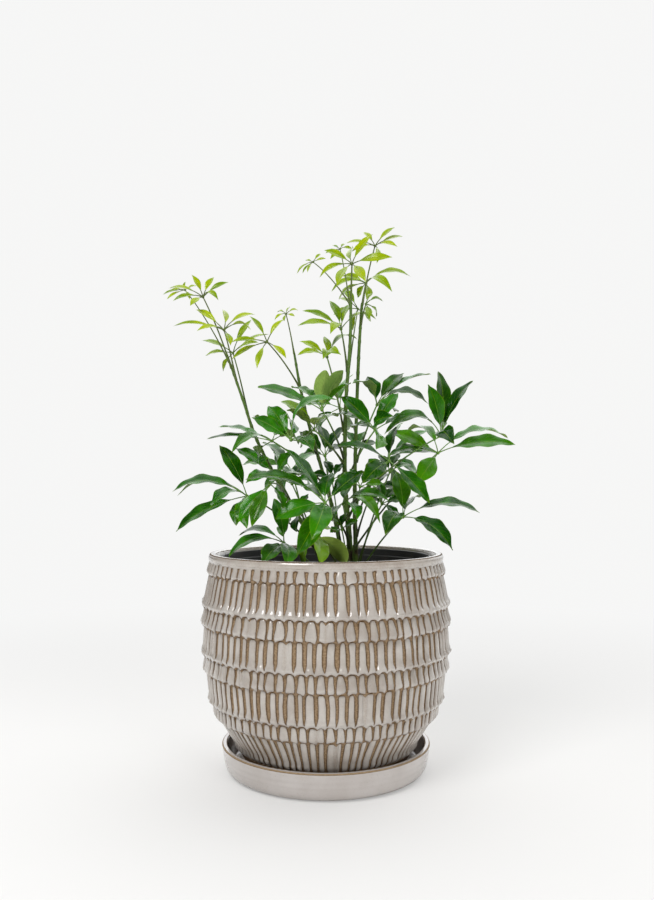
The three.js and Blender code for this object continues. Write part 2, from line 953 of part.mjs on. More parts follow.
// The soil fills the grower's pot to a low mound, and each cane stands in a plain hole in it.
function makeSoil() {
  const clear = 3 * SEAT_GAP;
  const profile = [
    [0, GROWER_FLOOR_Z],
    [growerInside(GROWER_FLOOR_Z) - clear, GROWER_FLOOR_Z],
    [growerInside(SOIL_EDGE_Z) - clear, SOIL_EDGE_Z],
    [SOIL_SHOULDER * growerInside(SOIL_EDGE_Z), SOIL_EDGE_Z + SOIL_SHOULDER * SOIL_MOUND],
    [0, SOIL_EDGE_Z + SOIL_MOUND],
  ];
  const points = profile.map(([r, z]) => new THREE.Vector2(r, z));
  const mound = solidOf(new THREE.LatheGeometry(points, SOIL_SIDES).rotateX(Math.PI / 2));
  const holes = Object.keys(STEMS).map((name) => {
    const [x, z, depth, radius] = STEMS[name][0];
    const foot = seenPoint(x, z, depth);
    const next = stemPoint(name, SOIL_EDGE_Z + SOIL_MOUND);
    const lean = next.clone().sub(foot).divideScalar(next.z - foot.z);
    const bottom = foot.clone().addScaledVector(lean, -2 * SEAT_GAP);
    const top = foot.clone().addScaledVector(lean, SOIL_EDGE_Z + 2 * SOIL_MOUND - foot.z);
    const wide = radius + 2 * SEAT_GAP;
    return solidOf(taperedTube([bottom, top], [wide, wide], STEM_SIDES));
  });
  return geometryOf(holes.reduce((soil, hole) => soil.subtract(hole), mound));
}

// Plant

// A point seen at (x, z) on the upright plane through the pot's axis, slid along its line of sight to its depth.
function seenPoint(x, z, depth) {
  const y = DEPTH_SPREAD * depth;
  const scale = (EYE_DISTANCE + y) / EYE_DISTANCE;
  return new THREE.Vector3(x * scale, y, EYE_HEIGHT + (z - EYE_HEIGHT) * scale);
}

function stemCurve(name) {
  const points = STEMS[name].map(([x, z, depth]) => seenPoint(x, z, depth));
  return new THREE.CatmullRomCurve3(points, false, "catmullrom", 0.5);
}

// The place along a cane, from 0 to 1, where it passes a height.
function stemShare(name, z) {
  const curve = stemCurve(name);
  let low = 0;
  let high = 1;
  for (let i = 0; i < 30; i++) {
    const middle = (low + high) / 2;
    if (curve.getPoint(middle).z < z) low = middle;
    else high = middle;
  }
  return low;
}

function stemPoint(name, z) {
  return stemCurve(name).getPoint(stemShare(name, z));
}

// Radius of a cane at a place along it, straight between its points.
function stemRadius(name, share) {
  const place = share * (STEMS[name].length - 1);
  const index = Math.min(Math.floor(place), STEMS[name].length - 2);
  return THREE.MathUtils.lerp(STEMS[name][index][3], STEMS[name][index + 1][3], place - index);
}

function makeStem(name) {
  const curve = stemCurve(name);
  const steps = Math.round(curve.getLength() / STEM_STEP);
  const shares = Array.from({ length: steps + 1 }, (_, i) => i / steps);
  const radii = shares.map((share) => stemRadius(name, share));
  return taperedTube(
    shares.map((share) => curve.getPoint(share)),
    radii,
    STEM_SIDES,
  );
}

// A leaf stalk leaves its cane's side and rises in a slight arch to the hub.
function makePetiole(leaf, hub) {
  const share = stemShare(leaf.stem, leaf.from);
  const centre = stemCurve(leaf.stem).getPoint(share);
  const growth = stemCurve(leaf.stem).getTangent(share);
  const reach = hub.clone().sub(centre);
  const out = reach.clone().addScaledVector(growth, -reach.dot(growth)).normalize();
  const scale = leaf.width < NARROW_LEAF ? NARROW_SCALE : 1;
  const base = PETIOLE_BASE_RADIUS * scale;
  const control = centre.clone().lerp(hub, 0.5).addScaledVector(UP, 2 * PETIOLE_LIFT * reach.length());
  const aim = control.clone().sub(centre).normalize();
  const clear = stemRadius(leaf.stem, share) + SEAT_GAP + base * Math.abs(aim.dot(growth));
  const start = centre.clone().addScaledVector(out, clear);
  const curve = new THREE.QuadraticBezierCurve3(start, control, hub);
  const centres = curve.getPoints(PETIOLE_STEPS);
  const radii = centres.map((_, i) => THREE.MathUtils.lerp(base, PETIOLE_TIP_RADIUS * scale, i / PETIOLE_STEPS));
  return taperedTube(centres, radii, PETIOLE_SIDES);
}

// The blade turns about its rib until it shows the stated width to the front, and of the two ways to do so
// takes the one whose upper side faces more upwards.
function bladeNormal(hub, along, width, shown) {
  const rib = along.clone().normalize();
  const toEye = EYE.clone().sub(hub);
  const facing = toEye.addScaledVector(rib, -toEye.dot(rib)).normalize();
  const edge = rib.clone().cross(facing);
  const part = THREE.MathUtils.clamp(shown / width, -1, 1);
  const rest = Math.sqrt(1 - part * part) * (edge.z < 0 ? -1 : 1);
  return facing.multiplyScalar(part).addScaledVector(edge, rest);
}

// One leaflet: a thin stalk, then a blade folded up along its rib that arches over its upper side.
function makeLeaflet(leaf, hub, [x, z, depth, shown, arch]) {
  const along = seenPoint(x, z, leaf.hub[2] + depth).sub(hub);
  const length = along.length();
  const normal = bladeNormal(hub, along, leaf.width, shown);
  const side = along.clone().cross(normal).normalize();
  const outline = leaf.width < SMALL_LEAF ? SMALL_OUTLINE : BLADE_OUTLINE;
  const thin = leaf.width < NARROW_LEAF ? NARROW_SCALE : 1;
  const place = (t) =>
    hub
      .clone()
      .addScaledVector(along, t)
      .addScaledVector(normal, arch * length * 4 * t * (1 - t));
  const section = (t, halfWidth, halfThickness, fold) => {
    const tangent = along.clone().addScaledVector(normal, arch * length * 4 * (1 - 2 * t));
    const above = side.clone().cross(tangent).normalize();
    const centre = place(t);
    const edgeLift = fold * halfWidth;
    return [
      centre.clone().addScaledVector(side, halfWidth).addScaledVector(above, edgeLift),
      centre.clone().addScaledVector(above, halfThickness),
      centre.clone().addScaledVector(side, -halfWidth).addScaledVector(above, edgeLift),
      centre.clone().addScaledVector(above, -halfThickness),
    ];
  };
  const stalk = (STALK_THICKNESS * thin) / 2;
  const root = (-STALK_ROOT * thin) / length;
  const rings = [[place(root)], section(STALK_SHARE, stalk, stalk, 0)];
  for (const [share, widthShare] of outline) {
    const t = STALK_SHARE + (1 - STALK_SHARE) * share;
    rings.push(section(t, (leaf.width * widthShare) / 2, (BLADE_THICKNESS * thin) / 2, BLADE_FOLD));
  }
  rings.push([place(1)]);
  return loft(rings);
}

function makeLeaf(leaf) {
  const hub = seenPoint(...leaf.hub);
  const knob = new THREE.OctahedronGeometry(leaf.width < NARROW_LEAF ? NARROW_HUB_RADIUS : HUB_RADIUS);
  knob.translate(hub.x, hub.y, hub.z);
  const pieces = [knob, makePetiole(leaf, hub)];
  for (const leaflet of leaf.leaflets) pieces.push(makeLeaflet(leaf, hub, leaflet));
  return geometryOf(joined(pieces.map(solidOf)).simplify(MERGE_SIZE));
}

const holder = new THREE.Group();
holder.add(
  namedMesh("saucer", makeSaucer(), COLOURS.glaze),
  namedMesh("pot", makePot(), COLOURS.glaze),
  namedMesh("grower_pot", makeGrowerPot(), COLOURS.grower),
  namedMesh("soil", makeSoil(), COLOURS.soil),
);

const plant = new THREE.Group();
for (const name of Object.keys(STEMS)) {
  plant.add(namedMesh("cane_" + name, makeStem(name), COLOURS.bark));
}
for (const leaf of LEAVES) {
  plant.add(namedMesh("leaf_" + leaf.name, makeLeaf(leaf), leaf.young ? COLOURS.young : COLOURS.mature));
}

holder.position.z = -GROUND_Z;
plant.position.z = -GROUND_Z;

const pottedPlant = new THREE.Group();
pottedPlant.add(holder, plant);

export default pottedPlant;
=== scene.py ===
"""Looks of a potted umbrella plant in a carved stoneware pot on its saucer.

Sizes of the plant, its pots and its saucer are in millimetres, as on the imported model, and MM turns them
into metres. The studio's sizes are in metres.
"""

from __future__ import annotations

import logging
import math
from dataclasses import dataclass, field
from enum import Enum

import bmesh
import bpy
import numpy as np
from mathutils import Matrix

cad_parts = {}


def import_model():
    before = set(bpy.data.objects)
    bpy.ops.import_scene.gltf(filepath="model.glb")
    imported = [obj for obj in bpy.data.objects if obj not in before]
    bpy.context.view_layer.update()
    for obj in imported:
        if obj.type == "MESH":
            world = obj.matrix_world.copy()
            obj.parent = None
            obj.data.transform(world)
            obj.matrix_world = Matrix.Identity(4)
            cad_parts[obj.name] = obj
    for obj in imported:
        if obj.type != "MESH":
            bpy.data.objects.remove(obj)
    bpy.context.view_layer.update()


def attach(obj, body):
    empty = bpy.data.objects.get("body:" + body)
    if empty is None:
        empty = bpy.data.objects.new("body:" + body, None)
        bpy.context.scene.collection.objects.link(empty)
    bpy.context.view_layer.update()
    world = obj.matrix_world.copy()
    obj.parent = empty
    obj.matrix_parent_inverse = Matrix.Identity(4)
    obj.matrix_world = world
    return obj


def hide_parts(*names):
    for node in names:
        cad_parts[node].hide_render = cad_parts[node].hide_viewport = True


log = logging.getLogger("umbrella_plant")

Place = tuple[float, float, float]
Colour = tuple[float, float, float, float]
LeafletRow = tuple[float, float, float, float, float]
Socket = bpy.types.NodeSocket
Amount = float | Socket
Tint = Colour | Socket

MM = 0.001
BODY = "root"
UV_NAME = "surface"

# Points nearer than the first become one, and edges shorter than the second are dropped, in metres
MERGE_M = 2e-6
SPECK_M = 1e-7

# Stands for the place where grooves end in the bands whose grooves run on to the lower line
NO_STOP = 2.0

# Height of the ground in all sizes below, whose heights start from a level 10.5 mm under it
GROUND_Z = 10.5

# Viewpoint that the plant's places are given from, and that the camera stands at
EYE_DISTANCE = 810.0
EYE_HEIGHT = 287.0
EYE = np.array([0.0, -EYE_DISTANCE, EYE_HEIGHT])
UP = np.array([0.0, 0.0, 1.0])
# The depths in the tables are widened by this, so that the plant is about as full from the sides
DEPTH_SPREAD = 1.4


class Tone(Enum):
    """How old and how light a leaf's blades are, as (age, lightness) from 0 to 1."""

    DARK = (0.0, 0.22)
    DEEP = (0.0, 0.36)
    MATURE = (0.02, 0.52)
    BRIGHT = (0.06, 0.66)
    OLIVE = (0.42, 0.5)
    PALE = (0.36, 0.95)
    FRESH = (0.66, 0.72)
    YOUNG = (1.0, 0.68)


@dataclass(frozen=True)
class LeafSpec:
    """One palmate leaf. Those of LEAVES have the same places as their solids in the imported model.

    stem and start say which cane its stalk grows from and at what height. hub is the point that the
    leaflets spread from, as seen: (x, z, depth). width is the full width of its blades, and tone their age
    and lightness. A leaflet is (x, z, depth, shown, arch): its tip as seen, how far the tip lies behind the
    hub, the width that it shows to the front (less than 0 for its underside), and its arch as a share of
    its length.
    """

    name: str
    stem: str
    start: float
    hub: Place
    width: float
    tone: Tone
    leaflets: tuple[LeafletRow, ...]


# Canes. Each point is (x, z, depth, radius), x and z as seen from the front and depth behind the axis
STEMS: dict[str, list[tuple[float, float, float, float]]] = {
    "trunk": [
        (27, 154, 2, 3.3), (25, 201, 2, 3.2), (23, 241, 1, 2.9), (19, 291, 0, 2.3),
        (19, 336, -1, 2), (20, 376, -2, 1.8), (24, 431, -3, 1.6), (25, 476, -4, 1.3),
    ],
    "second": [
        (36, 154, 16, 2.6), (31, 201, 15, 2.5), (29, 256, 13, 2.2), (29, 306, 12, 1.9),
        (31, 376, 11, 1.75), (33, 426, 10, 1.6), (36, 474, 9, 1.3),
    ],
    "middle": [
        (21, 154, 20, 2.6), (17, 211, 19, 2.4), (8, 261, 17, 2.1), (-4, 306, 15, 1.8),
        (-17, 351, 13, 1.6), (-26, 390, 11, 1.4), (-32, 424, 9, 1.1),
    ],
    "left": [
        (5, 154, 30, 2.8), (-2, 206, 28, 2.6), (-20, 246, 25, 2.3), (-38, 276, 22, 2),
        (-50, 298, 20, 1.8), (-70, 338, 16, 1.6), (-83, 376, 13, 1.4), (-100, 424, 10, 1.1),
    ],
}

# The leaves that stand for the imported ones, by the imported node's name after leaf_
LEAVES: tuple[LeafSpec, ...] = (
    LeafSpec("left_tip", "left", 416, (-141, 486, 14), 6, Tone.YOUNG, (
        (-164, 482, 0, 3, 0.08), (-160, 477, -6, 3.5, 0.08), (-157, 486, 6, 3, 0.08),
        (-141, 495, 4, 4, 0.08), (-129, 491, 6, 3, 0.08), (-136, 477, -8, 5, 0.08),
    )),
    LeafSpec("left_high", "left", 410, (-123, 479, 2), 10, Tone.YOUNG, (
        (-134, 502, -4, 8, 0.08), (-112, 500, 6, 8, 0.08), (-97, 495, 2, 6.5, 0.08),
        (-136, 471, -14, 7, 0.08), (-159, 489, 6, 5, 0.12), (-154, 476, -8, 5, 0.12),
        (-107, 476, -10, 4.5, 0.3),
    )),
    LeafSpec("left_upper", "left", 398, (-102, 446, -8), 11, Tone.YOUNG, (
        (-154, 452, 4, 5, 0.08), (-130, 446, -14, 5, 0.15), (-131, 468, 8, 9, 0.08),
        (-102, 468, 18, 9, 0.08), (-70, 463, 4, 6, 0.15), (-74, 447, -14, -5, 0.2),
        (-95, 431, -12, 8, 0.08),
    )),
    LeafSpec("left_lower", "left", 364, (-93, 423, 18), 11, Tone.FRESH, (
        (-125, 437, 6, 6, 0.08), (-122, 421, 8, 5, 0.08), (-75, 458, 8, 8, 0.08),
        (-56, 444, 14, 4, 0.08), (-68, 435, -16, 4, 0.08), (-104, 404, 12, 6, 0.08),
    )),
    LeafSpec("centre_tip", "middle", 424, (-40, 462, 4), 5, Tone.YOUNG, (
        (-52, 456, -4, 3, 0.2), (-49, 464, 6, 2.5, 0.2), (-42, 455, -7, 3.5, 0.08),
        (-31, 460, -3, 3.5, 0.08), (-27, 466, 4, 3, 0.2), (-36, 470, 7, 2.5, 0.08),
    )),
    LeafSpec("centre_high", "middle", 390, (-59, 434, -14), 11, Tone.YOUNG, (
        (-76, 461, 0, 7, 0.08), (-96, 435, -6, 6, 0.08), (-96, 417, 4, 7, 0.08),
        (-70, 408, -14, 8, 0.08), (-39, 418, -6, 7.5, 0.08), (-42, 458, 4, 6.5, 0.08),
    )),
    LeafSpec("right_tip", "trunk", 470, (-13, 514, 22), 5, Tone.YOUNG, (
        (-30, 502, -2, 2.5, 0.15), (-24, 503, -6, 2.5, 0.08), (-19, 504, -8, 3, 0.08),
        (-21, 516, 4, 2.5, 0.08), (-5, 523, 5, 4, 0.08), (0, 518, -5, 3, 0.08),
    )),
    LeafSpec("right_bud", "trunk", 464, (14, 527, 26), 6, Tone.YOUNG, (
        (27, 527, -2, 4, 0.2), (4, 517, -8, 5.5, 0.08), (6, 531, 4, 3, 0.08),
        (-1, 523, 0, 4, 0.08), (19, 533, 6, 4, 0.08),
    )),
    LeafSpec("right_crown", "trunk", 476, (26, 512, -14), 14, Tone.YOUNG, (
        (-2, 527, -4, 9, 0.08), (-8, 499, 2, 7, 0.15), (10, 491, -20, 9, 0.08),
        (46, 543, -12, 9, 0.08), (67, 520, -8, 11, 0.1), (40, 495, -20, 13, 0.08),
        (26, 530, 22, 9, 0.08),
    )),
    LeafSpec("right_top", "second", 474, (49, 530, 16), 10, Tone.YOUNG, (
        (69, 550, 0, 6, 0.08), (78, 541, 6, 5, 0.08), (72, 530, -12, 5, 0.15),
        (37, 545, 10, 7, 0.08), (19, 534, 6, 4.5, 0.1), (25, 525, -12, 6, 0.12),
        (52, 514, -26, 7, 0.08),
    )),
    LeafSpec("right_high", "second", 470, (40, 493, 30), 13, Tone.FRESH, (
        (86, 501, -4, 6, 0.2), (67, 485, -22, 8, 0.25), (41, 477, -10, 10, 0.1),
        (4, 485, 0, 6, 0.2), (11, 476, 12, 6, 0.15), (15, 501, 8, 9, 0.08), (31, 478, 8, 8, 0.08),
    )),
    LeafSpec("right_small", "second", 454, (40, 472, 2), 9, Tone.FRESH, (
        (58, 475, 2, 3.5, 0.25), (43, 458, -14, 8, 0.08), (51, 459, 10, 3.5, 0.2),
        (47, 484, 8, 5, 0.08),
    )),
    LeafSpec("right_inner", "trunk", 380, (32, 467, 50), 11, Tone.FRESH, (
        (16, 488, 6, 9, 0.08), (7, 462, -8, 6, 0.1), (12, 479, 14, 6, 0.08),
        (46, 454, 12, 7, 0.08), (26, 445, 8, 7, 0.08),
    )),
    LeafSpec("mid_high", "trunk", 404, (15, 447, 6), 13, Tone.FRESH, (
        (-24, 467, -6, 7, 0.1), (-29, 452, -14, 6, 0.12), (4, 443, -26, 7, 0.2),
        (4, 477, 10, 10, 0.08), (25, 475, 14, 8, 0.08), (51, 459, 32, 4, 0.15),
    )),
    LeafSpec("mid_small", "trunk", 344, (1, 419, 4), 13, Tone.FRESH, (
        (-27, 436, 2, 8, 0.1), (-29, 422, -12, 6, 0.15), (-3, 418, -26, 7, 0.2),
        (-1, 441, 10, 10, 0.08), (32, 439, 26, 6, 0.2), (15, 422, -22, 6, 0.2),
    )),
    LeafSpec("mid_pair", "trunk", 318, (-4, 366, -26), 18, Tone.MATURE, (
        (-1, 406, 6, -17, 0.08), (16, 406, 12, -14, 0.08), (-68, 392, -8, 9, 0.05),
        (-34, 391, 14, 8, 0.1), (24, 395, 6, 5, 0.05), (-16, 388, 30, 11, 0.08),
    )),
    LeafSpec("mid_olive", "trunk", 313, (-12, 346, -10), 17, Tone.OLIVE, (
        (-45, 377, 10, 11, 0.1), (-39, 368, -14, -9, 0.1), (-3, 360, -34, -11, 0.1),
        (12, 362, 28, 8, 0.1), (-26, 330, 26, 9, 0.08),
    )),
    LeafSpec("mid_bright", "middle", 324, (-35, 336, -34), 18, Tone.MATURE, (
        (-74, 360, -6, 13, 0.05), (-58, 372, 14, 17, 0.08), (14, 379, -10, 6, 0.3),
        (-38, 361, 30, 9, 0.08), (-72, 363, 30, 4, 0.05), (-64, 352, 12, 9, 0.08),
        (-12, 326, -24, 9, 0.15),
    )),
    LeafSpec("mid_left", "middle", 290, (-54, 335, -2), 16, Tone.MATURE, (
        (-108, 352, 12, 5, 0.05), (-120, 340, 2, 4, 0.05), (-96, 324, -20, 7, 0.25),
        (-59, 317, -34, -8, 0.25), (-26, 332, -12, -8, 0.3), (-56, 356, 44, 8, 0.08),
    )),
    LeafSpec("back_centre", "middle", 276, (-1, 320, 42), 17, Tone.DARK, (
        (-27, 346, 6, 13, 0.08), (-6, 353, 16, 13, 0.08), (21, 352, 4, 9, 0.08),
        (-23, 323, -4, 7, 0.1), (20, 332, 16, 8, 0.08), (0, 298, 34, 9, 0.08),
    )),
    LeafSpec("fan_high", "second", 314, (51, 371, 14), 18, Tone.DARK, (
        (42, 401, 8, 15, 0.08), (26, 395, -26, -9, 0.2), (78, 405, 12, 13, 0.08),
        (105, 405, 4, 4, 0.1), (104, 374, -14, 6, 0.25), (70, 366, 36, 10, 0.08),
    )),
    LeafSpec("fan_mid", "trunk", 294, (49, 346, -22), 18, Tone.MATURE, (
        (15, 381, 0, 15, 0.08), (72, 385, 6, 14, 0.08), (66, 361, -30, 10, 0.15),
        (4, 364, 16, 6, 0.1), (25, 350, 30, 9, 0.1), (99, 365, 24, 5, 0.05),
        (52, 328, -36, 9, 0.08),
    )),
    LeafSpec("right_fan", "trunk", 269, (115, 340, -14), 18, Tone.DARK, (
        (103, 393, -6, 15, 0.08), (114, 407, 10, 14, 0.08), (146, 398, 2, 11, 0.08),
        (56, 343, -12, 9, 0.35), (128, 333, -32, 15, 0.2), (107, 365, 32, 8, 0.1),
    )),
    LeafSpec("right_wide", "trunk", 224, (112, 323, 8), 20, Tone.BRIGHT, (
        (191, 334, -12, 13, 0.1), (184, 341, 14, 7, 0.18), (64, 346, 4, 14, 0.05),
        (62, 323, -2, 9, 0.1), (91, 293, -24, 20, 0.05), (81, 347, 26, 8, 0.25),
    )),
    LeafSpec("right_mid", "trunk", 260, (63, 315, -26), 18, Tone.DARK, (
        (105, 274, -14, 14, 0.05), (37, 294, -26, 17, 0.1), (11, 332, -8, 6, 0.1),
        (70, 351, 10, 10, 0.05),
    )),
    LeafSpec("right_low", "trunk", 193, (77, 259, -20), 20, Tone.DARK, (
        (156, 266, -6, 9, 0.15), (129, 226, -20, 14, 0.18), (71, 306, 12, 18, 0.08),
        (59, 242, -34, 16, 0.2), (94, 282, 44, 10, 0.08),
    )),
    LeafSpec("centre_low", "trunk", 228, (17, 272, -30), 15, Tone.MATURE, (
        (32, 257, -20, 7, 0.2), (64, 277, -14, 7, 0.2), (56, 253, -26, 8, 0.3),
        (27, 294, 20, 9, 0.08), (5, 256, -30, 7, 0.08),
    )),
    LeafSpec("right_back", "second", 238, (48, 288, 26), 16, Tone.DARK, (
        (63, 304, 16, 9, 0.08), (75, 288, -4, 8, 0.1), (71, 275, -8, 8, 0.1), (26, 271, 4, 9, 0.1),
        (34, 306, 22, 9, 0.08), (54, 276, 40, 9, 0.08),
    )),
    LeafSpec("low_front", "trunk", 236, (-1, 273, -46), 20, Tone.DEEP, (
        (-29, 221, -26, 22, 0.12), (-14, 237, -38, 22, 0.15), (-52, 258, -8, 16, 0.12),
        (-82, 300, -6, 9, 0.15), (-39, 330, 4, 10, 0.05), (5, 305, 14, 15, 0.08),
        (38, 307, 10, 15, 0.05), (-23, 293, 30, 14, 0.08),
    )),
    LeafSpec("low_left", "left", 188, (-42, 233, -30), 18, Tone.MATURE, (
        (-100, 220, -8, 9, 0.22), (-64, 213, -26, 15, 0.1), (-39, 211, -30, 15, 0.12),
        (-89, 242, 8, 7, 0.2), (-51, 279, 8, 15, 0.08), (-37, 259, 26, 12, 0.08),
    )),
    LeafSpec("left_wide", "left", 228, (-79, 280, -14), 18, Tone.MATURE, (
        (-156, 287, -2, 9, 0.18), (-151, 283, 14, 4, 0.2), (-117, 268, -20, 8, 0.25),
        (-91, 251, -22, 13, 0.1), (-80, 248, -34, 16, 0.15), (-153, 246, 2, 11, 0.08),
        (-106, 333, 10, 15, 0.08),
    )),
    LeafSpec("left_inner", "left", 264, (-49, 299, 0), 17, Tone.MATURE, (
        (-92, 330, 6, 12, 0.08), (-50, 326, 20, 11, 0.08), (-35, 325, -8, 10, 0.08),
        (-80, 295, -28, 9, 0.1), (-26, 302, 32, 9, 0.1),
    )),
    LeafSpec("low_pale", "middle", 196, (-15, 243, -44), 20, Tone.PALE, (
        (23, 213, -16, -18, 0.15), (-4, 215, -30, 12, 0.1), (9, 245, 12, 9, 0.2),
        (-23, 210, 8, 10, 0.1),
    )),
    LeafSpec("back_left", "left", 246, (-35, 306, 66), 18, Tone.MATURE, (
        (-86, 313, 18, 10, 0.1), (-64, 284, 30, 12, 0.1), (-44, 276, 46, 14, 0.1),
        (-16, 292, 42, 12, 0.1), (-64, 336, 26, 10, 0.08), (-8, 324, 24, 9, 0.08),
    )),
    LeafSpec("back_right", "second", 256, (62, 318, 66), 18, Tone.MATURE, (
        (114, 324, 16, 10, 0.1), (94, 298, 34, 12, 0.1), (66, 282, 44, 14, 0.1),
        (38, 300, 42, 12, 0.1), (76, 356, 30, 10, 0.08), (104, 348, 10, 9, 0.08),
    )),
    LeafSpec("back_high", "second", 346, (14, 368, 60), 17, Tone.BRIGHT, (
        (-26, 372, 24, 10, 0.1), (-12, 344, 40, 12, 0.1), (18, 340, 46, 12, 0.1),
        (46, 352, 36, 10, 0.1), (26, 404, 28, 9, 0.08), (-4, 400, 26, 10, 0.08),
    )),
)


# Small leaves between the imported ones, eight deep in the tuft and one at its left. They stand for no node
SHOOTS: tuple[LeafSpec, ...] = (
    LeafSpec("front", "trunk", 206, (34, 289, -16), 11, Tone.MATURE, (
        (58, 293, -4, 7, 0.1), (46, 306, 6, 8, 0.08), (24, 308, 4, 8, 0.08), (8, 296, -6, 6, 0.14),
        (52, 278, -12, 6, 0.14),
    )),
    LeafSpec("right", "trunk", 198, (56, 272, 2), 12, Tone.DARK, (
        (82, 276, -4, 7, 0.12), (74, 290, 6, 8, 0.1), (52, 297, 8, 9, 0.08),
        (38, 281, -4, 7, 0.12), (72, 258, -10, 7, 0.14),
    )),
    LeafSpec("inner", "middle", 208, (6, 296, -6), 11, Tone.DARK, (
        (-14, 303, -4, 7, 0.12), (-2, 316, 6, 8, 0.1), (18, 314, 6, 8, 0.08),
        (26, 300, -4, 6, 0.12), (2, 280, -12, -6, 0.12),
    )),
    LeafSpec("left", "middle", 200, (-26, 262, -16), 12, Tone.DARK, (
        (-48, 262, -6, 7, 0.12), (-38, 277, 6, 9, 0.1), (-18, 283, 4, 8, 0.08),
        (-4, 266, -4, 7, 0.12), (-30, 244, -12, 7, 0.14),
    )),
    LeafSpec("behind", "second", 206, (64, 304, 22), 12, Tone.DARK, (
        (86, 312, 6, 6, 0.12), (74, 324, 10, 9, 0.08), (52, 322, 6, 8, 0.1),
        (46, 306, -6, 7, 0.12),
    )),
    LeafSpec("far_left", "left", 204, (-34, 292, 44), 13, Tone.DARK, (
        (-58, 296, 8, 7, 0.12), (-46, 312, 12, 9, 0.1), (-24, 314, 8, 9, 0.08),
        (-12, 298, 4, 7, 0.12),
    )),
    LeafSpec("far", "second", 214, (30, 326, 48), 13, Tone.MATURE, (
        (52, 334, 8, 8, 0.12), (40, 346, 10, 9, 0.1), (20, 346, 8, 9, 0.08), (8, 330, 6, 8, 0.12),
    )),
    LeafSpec("foot", "trunk", 182, (16, 246, -18), 10, Tone.MATURE, (
        (32, 256, -6, 6, 0.12), (20, 264, 4, 7, 0.1), (6, 260, 4, 6, 0.1), (4, 244, -8, 6, 0.14),
    )),
    LeafSpec("near_left", "left", 280, (-56, 292, -50), 15, Tone.MATURE, (
        (-89, 254, -14, 13, 0.07), (-75, 250, -18, 14, 0.07), (-42, 268, -8, 7, 0.1),
    )),
)


def seen_point(x: float, z: float, depth: float) -> np.ndarray:
    """Slides a point of the upright plane through the pot's axis along its line of sight to its depth.

    Args:
        x: Place to the right of the axis, as seen.
        z: Height, as seen.
        depth: Depth behind the axis, before it is widened.

    Returns:
        The real point (x, y, z) in millimetres.
    """
    y = DEPTH_SPREAD * depth
    scale = (EYE_DISTANCE + y) / EYE_DISTANCE
    return np.array([x * scale, y, EYE_HEIGHT + (z - EYE_HEIGHT) * scale])


def unit(vectors: np.ndarray) -> np.ndarray:
    """Vectors of length 1 in the same directions, along the last axis."""
    return vectors / np.linalg.norm(vectors, axis=-1, keepdims=True)


def ease(share: np.ndarray) -> np.ndarray:
    """A share from 0 to 1 with a soft start and a soft end: three squares less two cubes of it."""
    return share**2 * (3 - 2 * share)


def full_turn(count: int) -> np.ndarray:
    """Angles of evenly spaced points round a circle, from 0."""
    return np.linspace(0, 2 * np.pi, count, endpoint=False)


def lengths(path: np.ndarray) -> np.ndarray:
    """How far along a path each of its points lies."""
    return np.concatenate([[0], np.cumsum(np.linalg.norm(np.diff(path, axis=0), axis=1))])


def look_up(rows: np.ndarray, keys: np.ndarray, places: np.ndarray) -> np.ndarray:
    """Rows read off between those of a table, each column running straight from key to key."""
    return np.column_stack([np.interp(places, keys, column) for column in rows.T])


def bend(start: np.ndarray, control: np.ndarray, end: np.ndarray, steps: int) -> np.ndarray:
    """Points of a quadratic curve, which leaves its start towards a control point and ends away from it."""
    t = np.linspace(0, 1, steps)[:, None]
    return (1 - t) ** 2 * start + 2 * t * (1 - t) * control + t**2 * end


def smooth_path(points: np.ndarray, per_span: int) -> np.ndarray:
    """A smooth curve through points.

    Each span is the cubic that leaves and enters its ends in the direction of the neighbouring points.

    Args:
        points: Rows of places, with any further values beside them.
        per_span: Steps on each span.

    Returns:
        The curve's rows, from the first point to the last.
    """
    padded = np.vstack([2 * points[0] - points[1], points, 2 * points[-1] - points[-2]])
    shares = np.linspace(0, len(points) - 1, per_span * (len(points) - 1) + 1)
    span = np.minimum(shares.astype(int), len(points) - 2)
    t = (shares - span)[:, None]
    a, b, c, d = (padded[span + k] for k in range(4))
    turn = 2 * a - 5 * b + 4 * c - d
    twist = -a + 3 * b - 3 * c + d
    return 0.5 * (2 * b + (c - a) * t + turn * t**2 + twist * t**3)


def add_object(name: str, data: bpy.types.ID) -> bpy.types.Object:
    """Puts a new object that shows this data into the scene.

    Args:
        name: The object's name.
        data: Its mesh, lamp or camera.

    Returns:
        The object.
    """
    made = bpy.data.objects.new(name, data)
    bpy.context.scene.collection.objects.link(made)
    return made


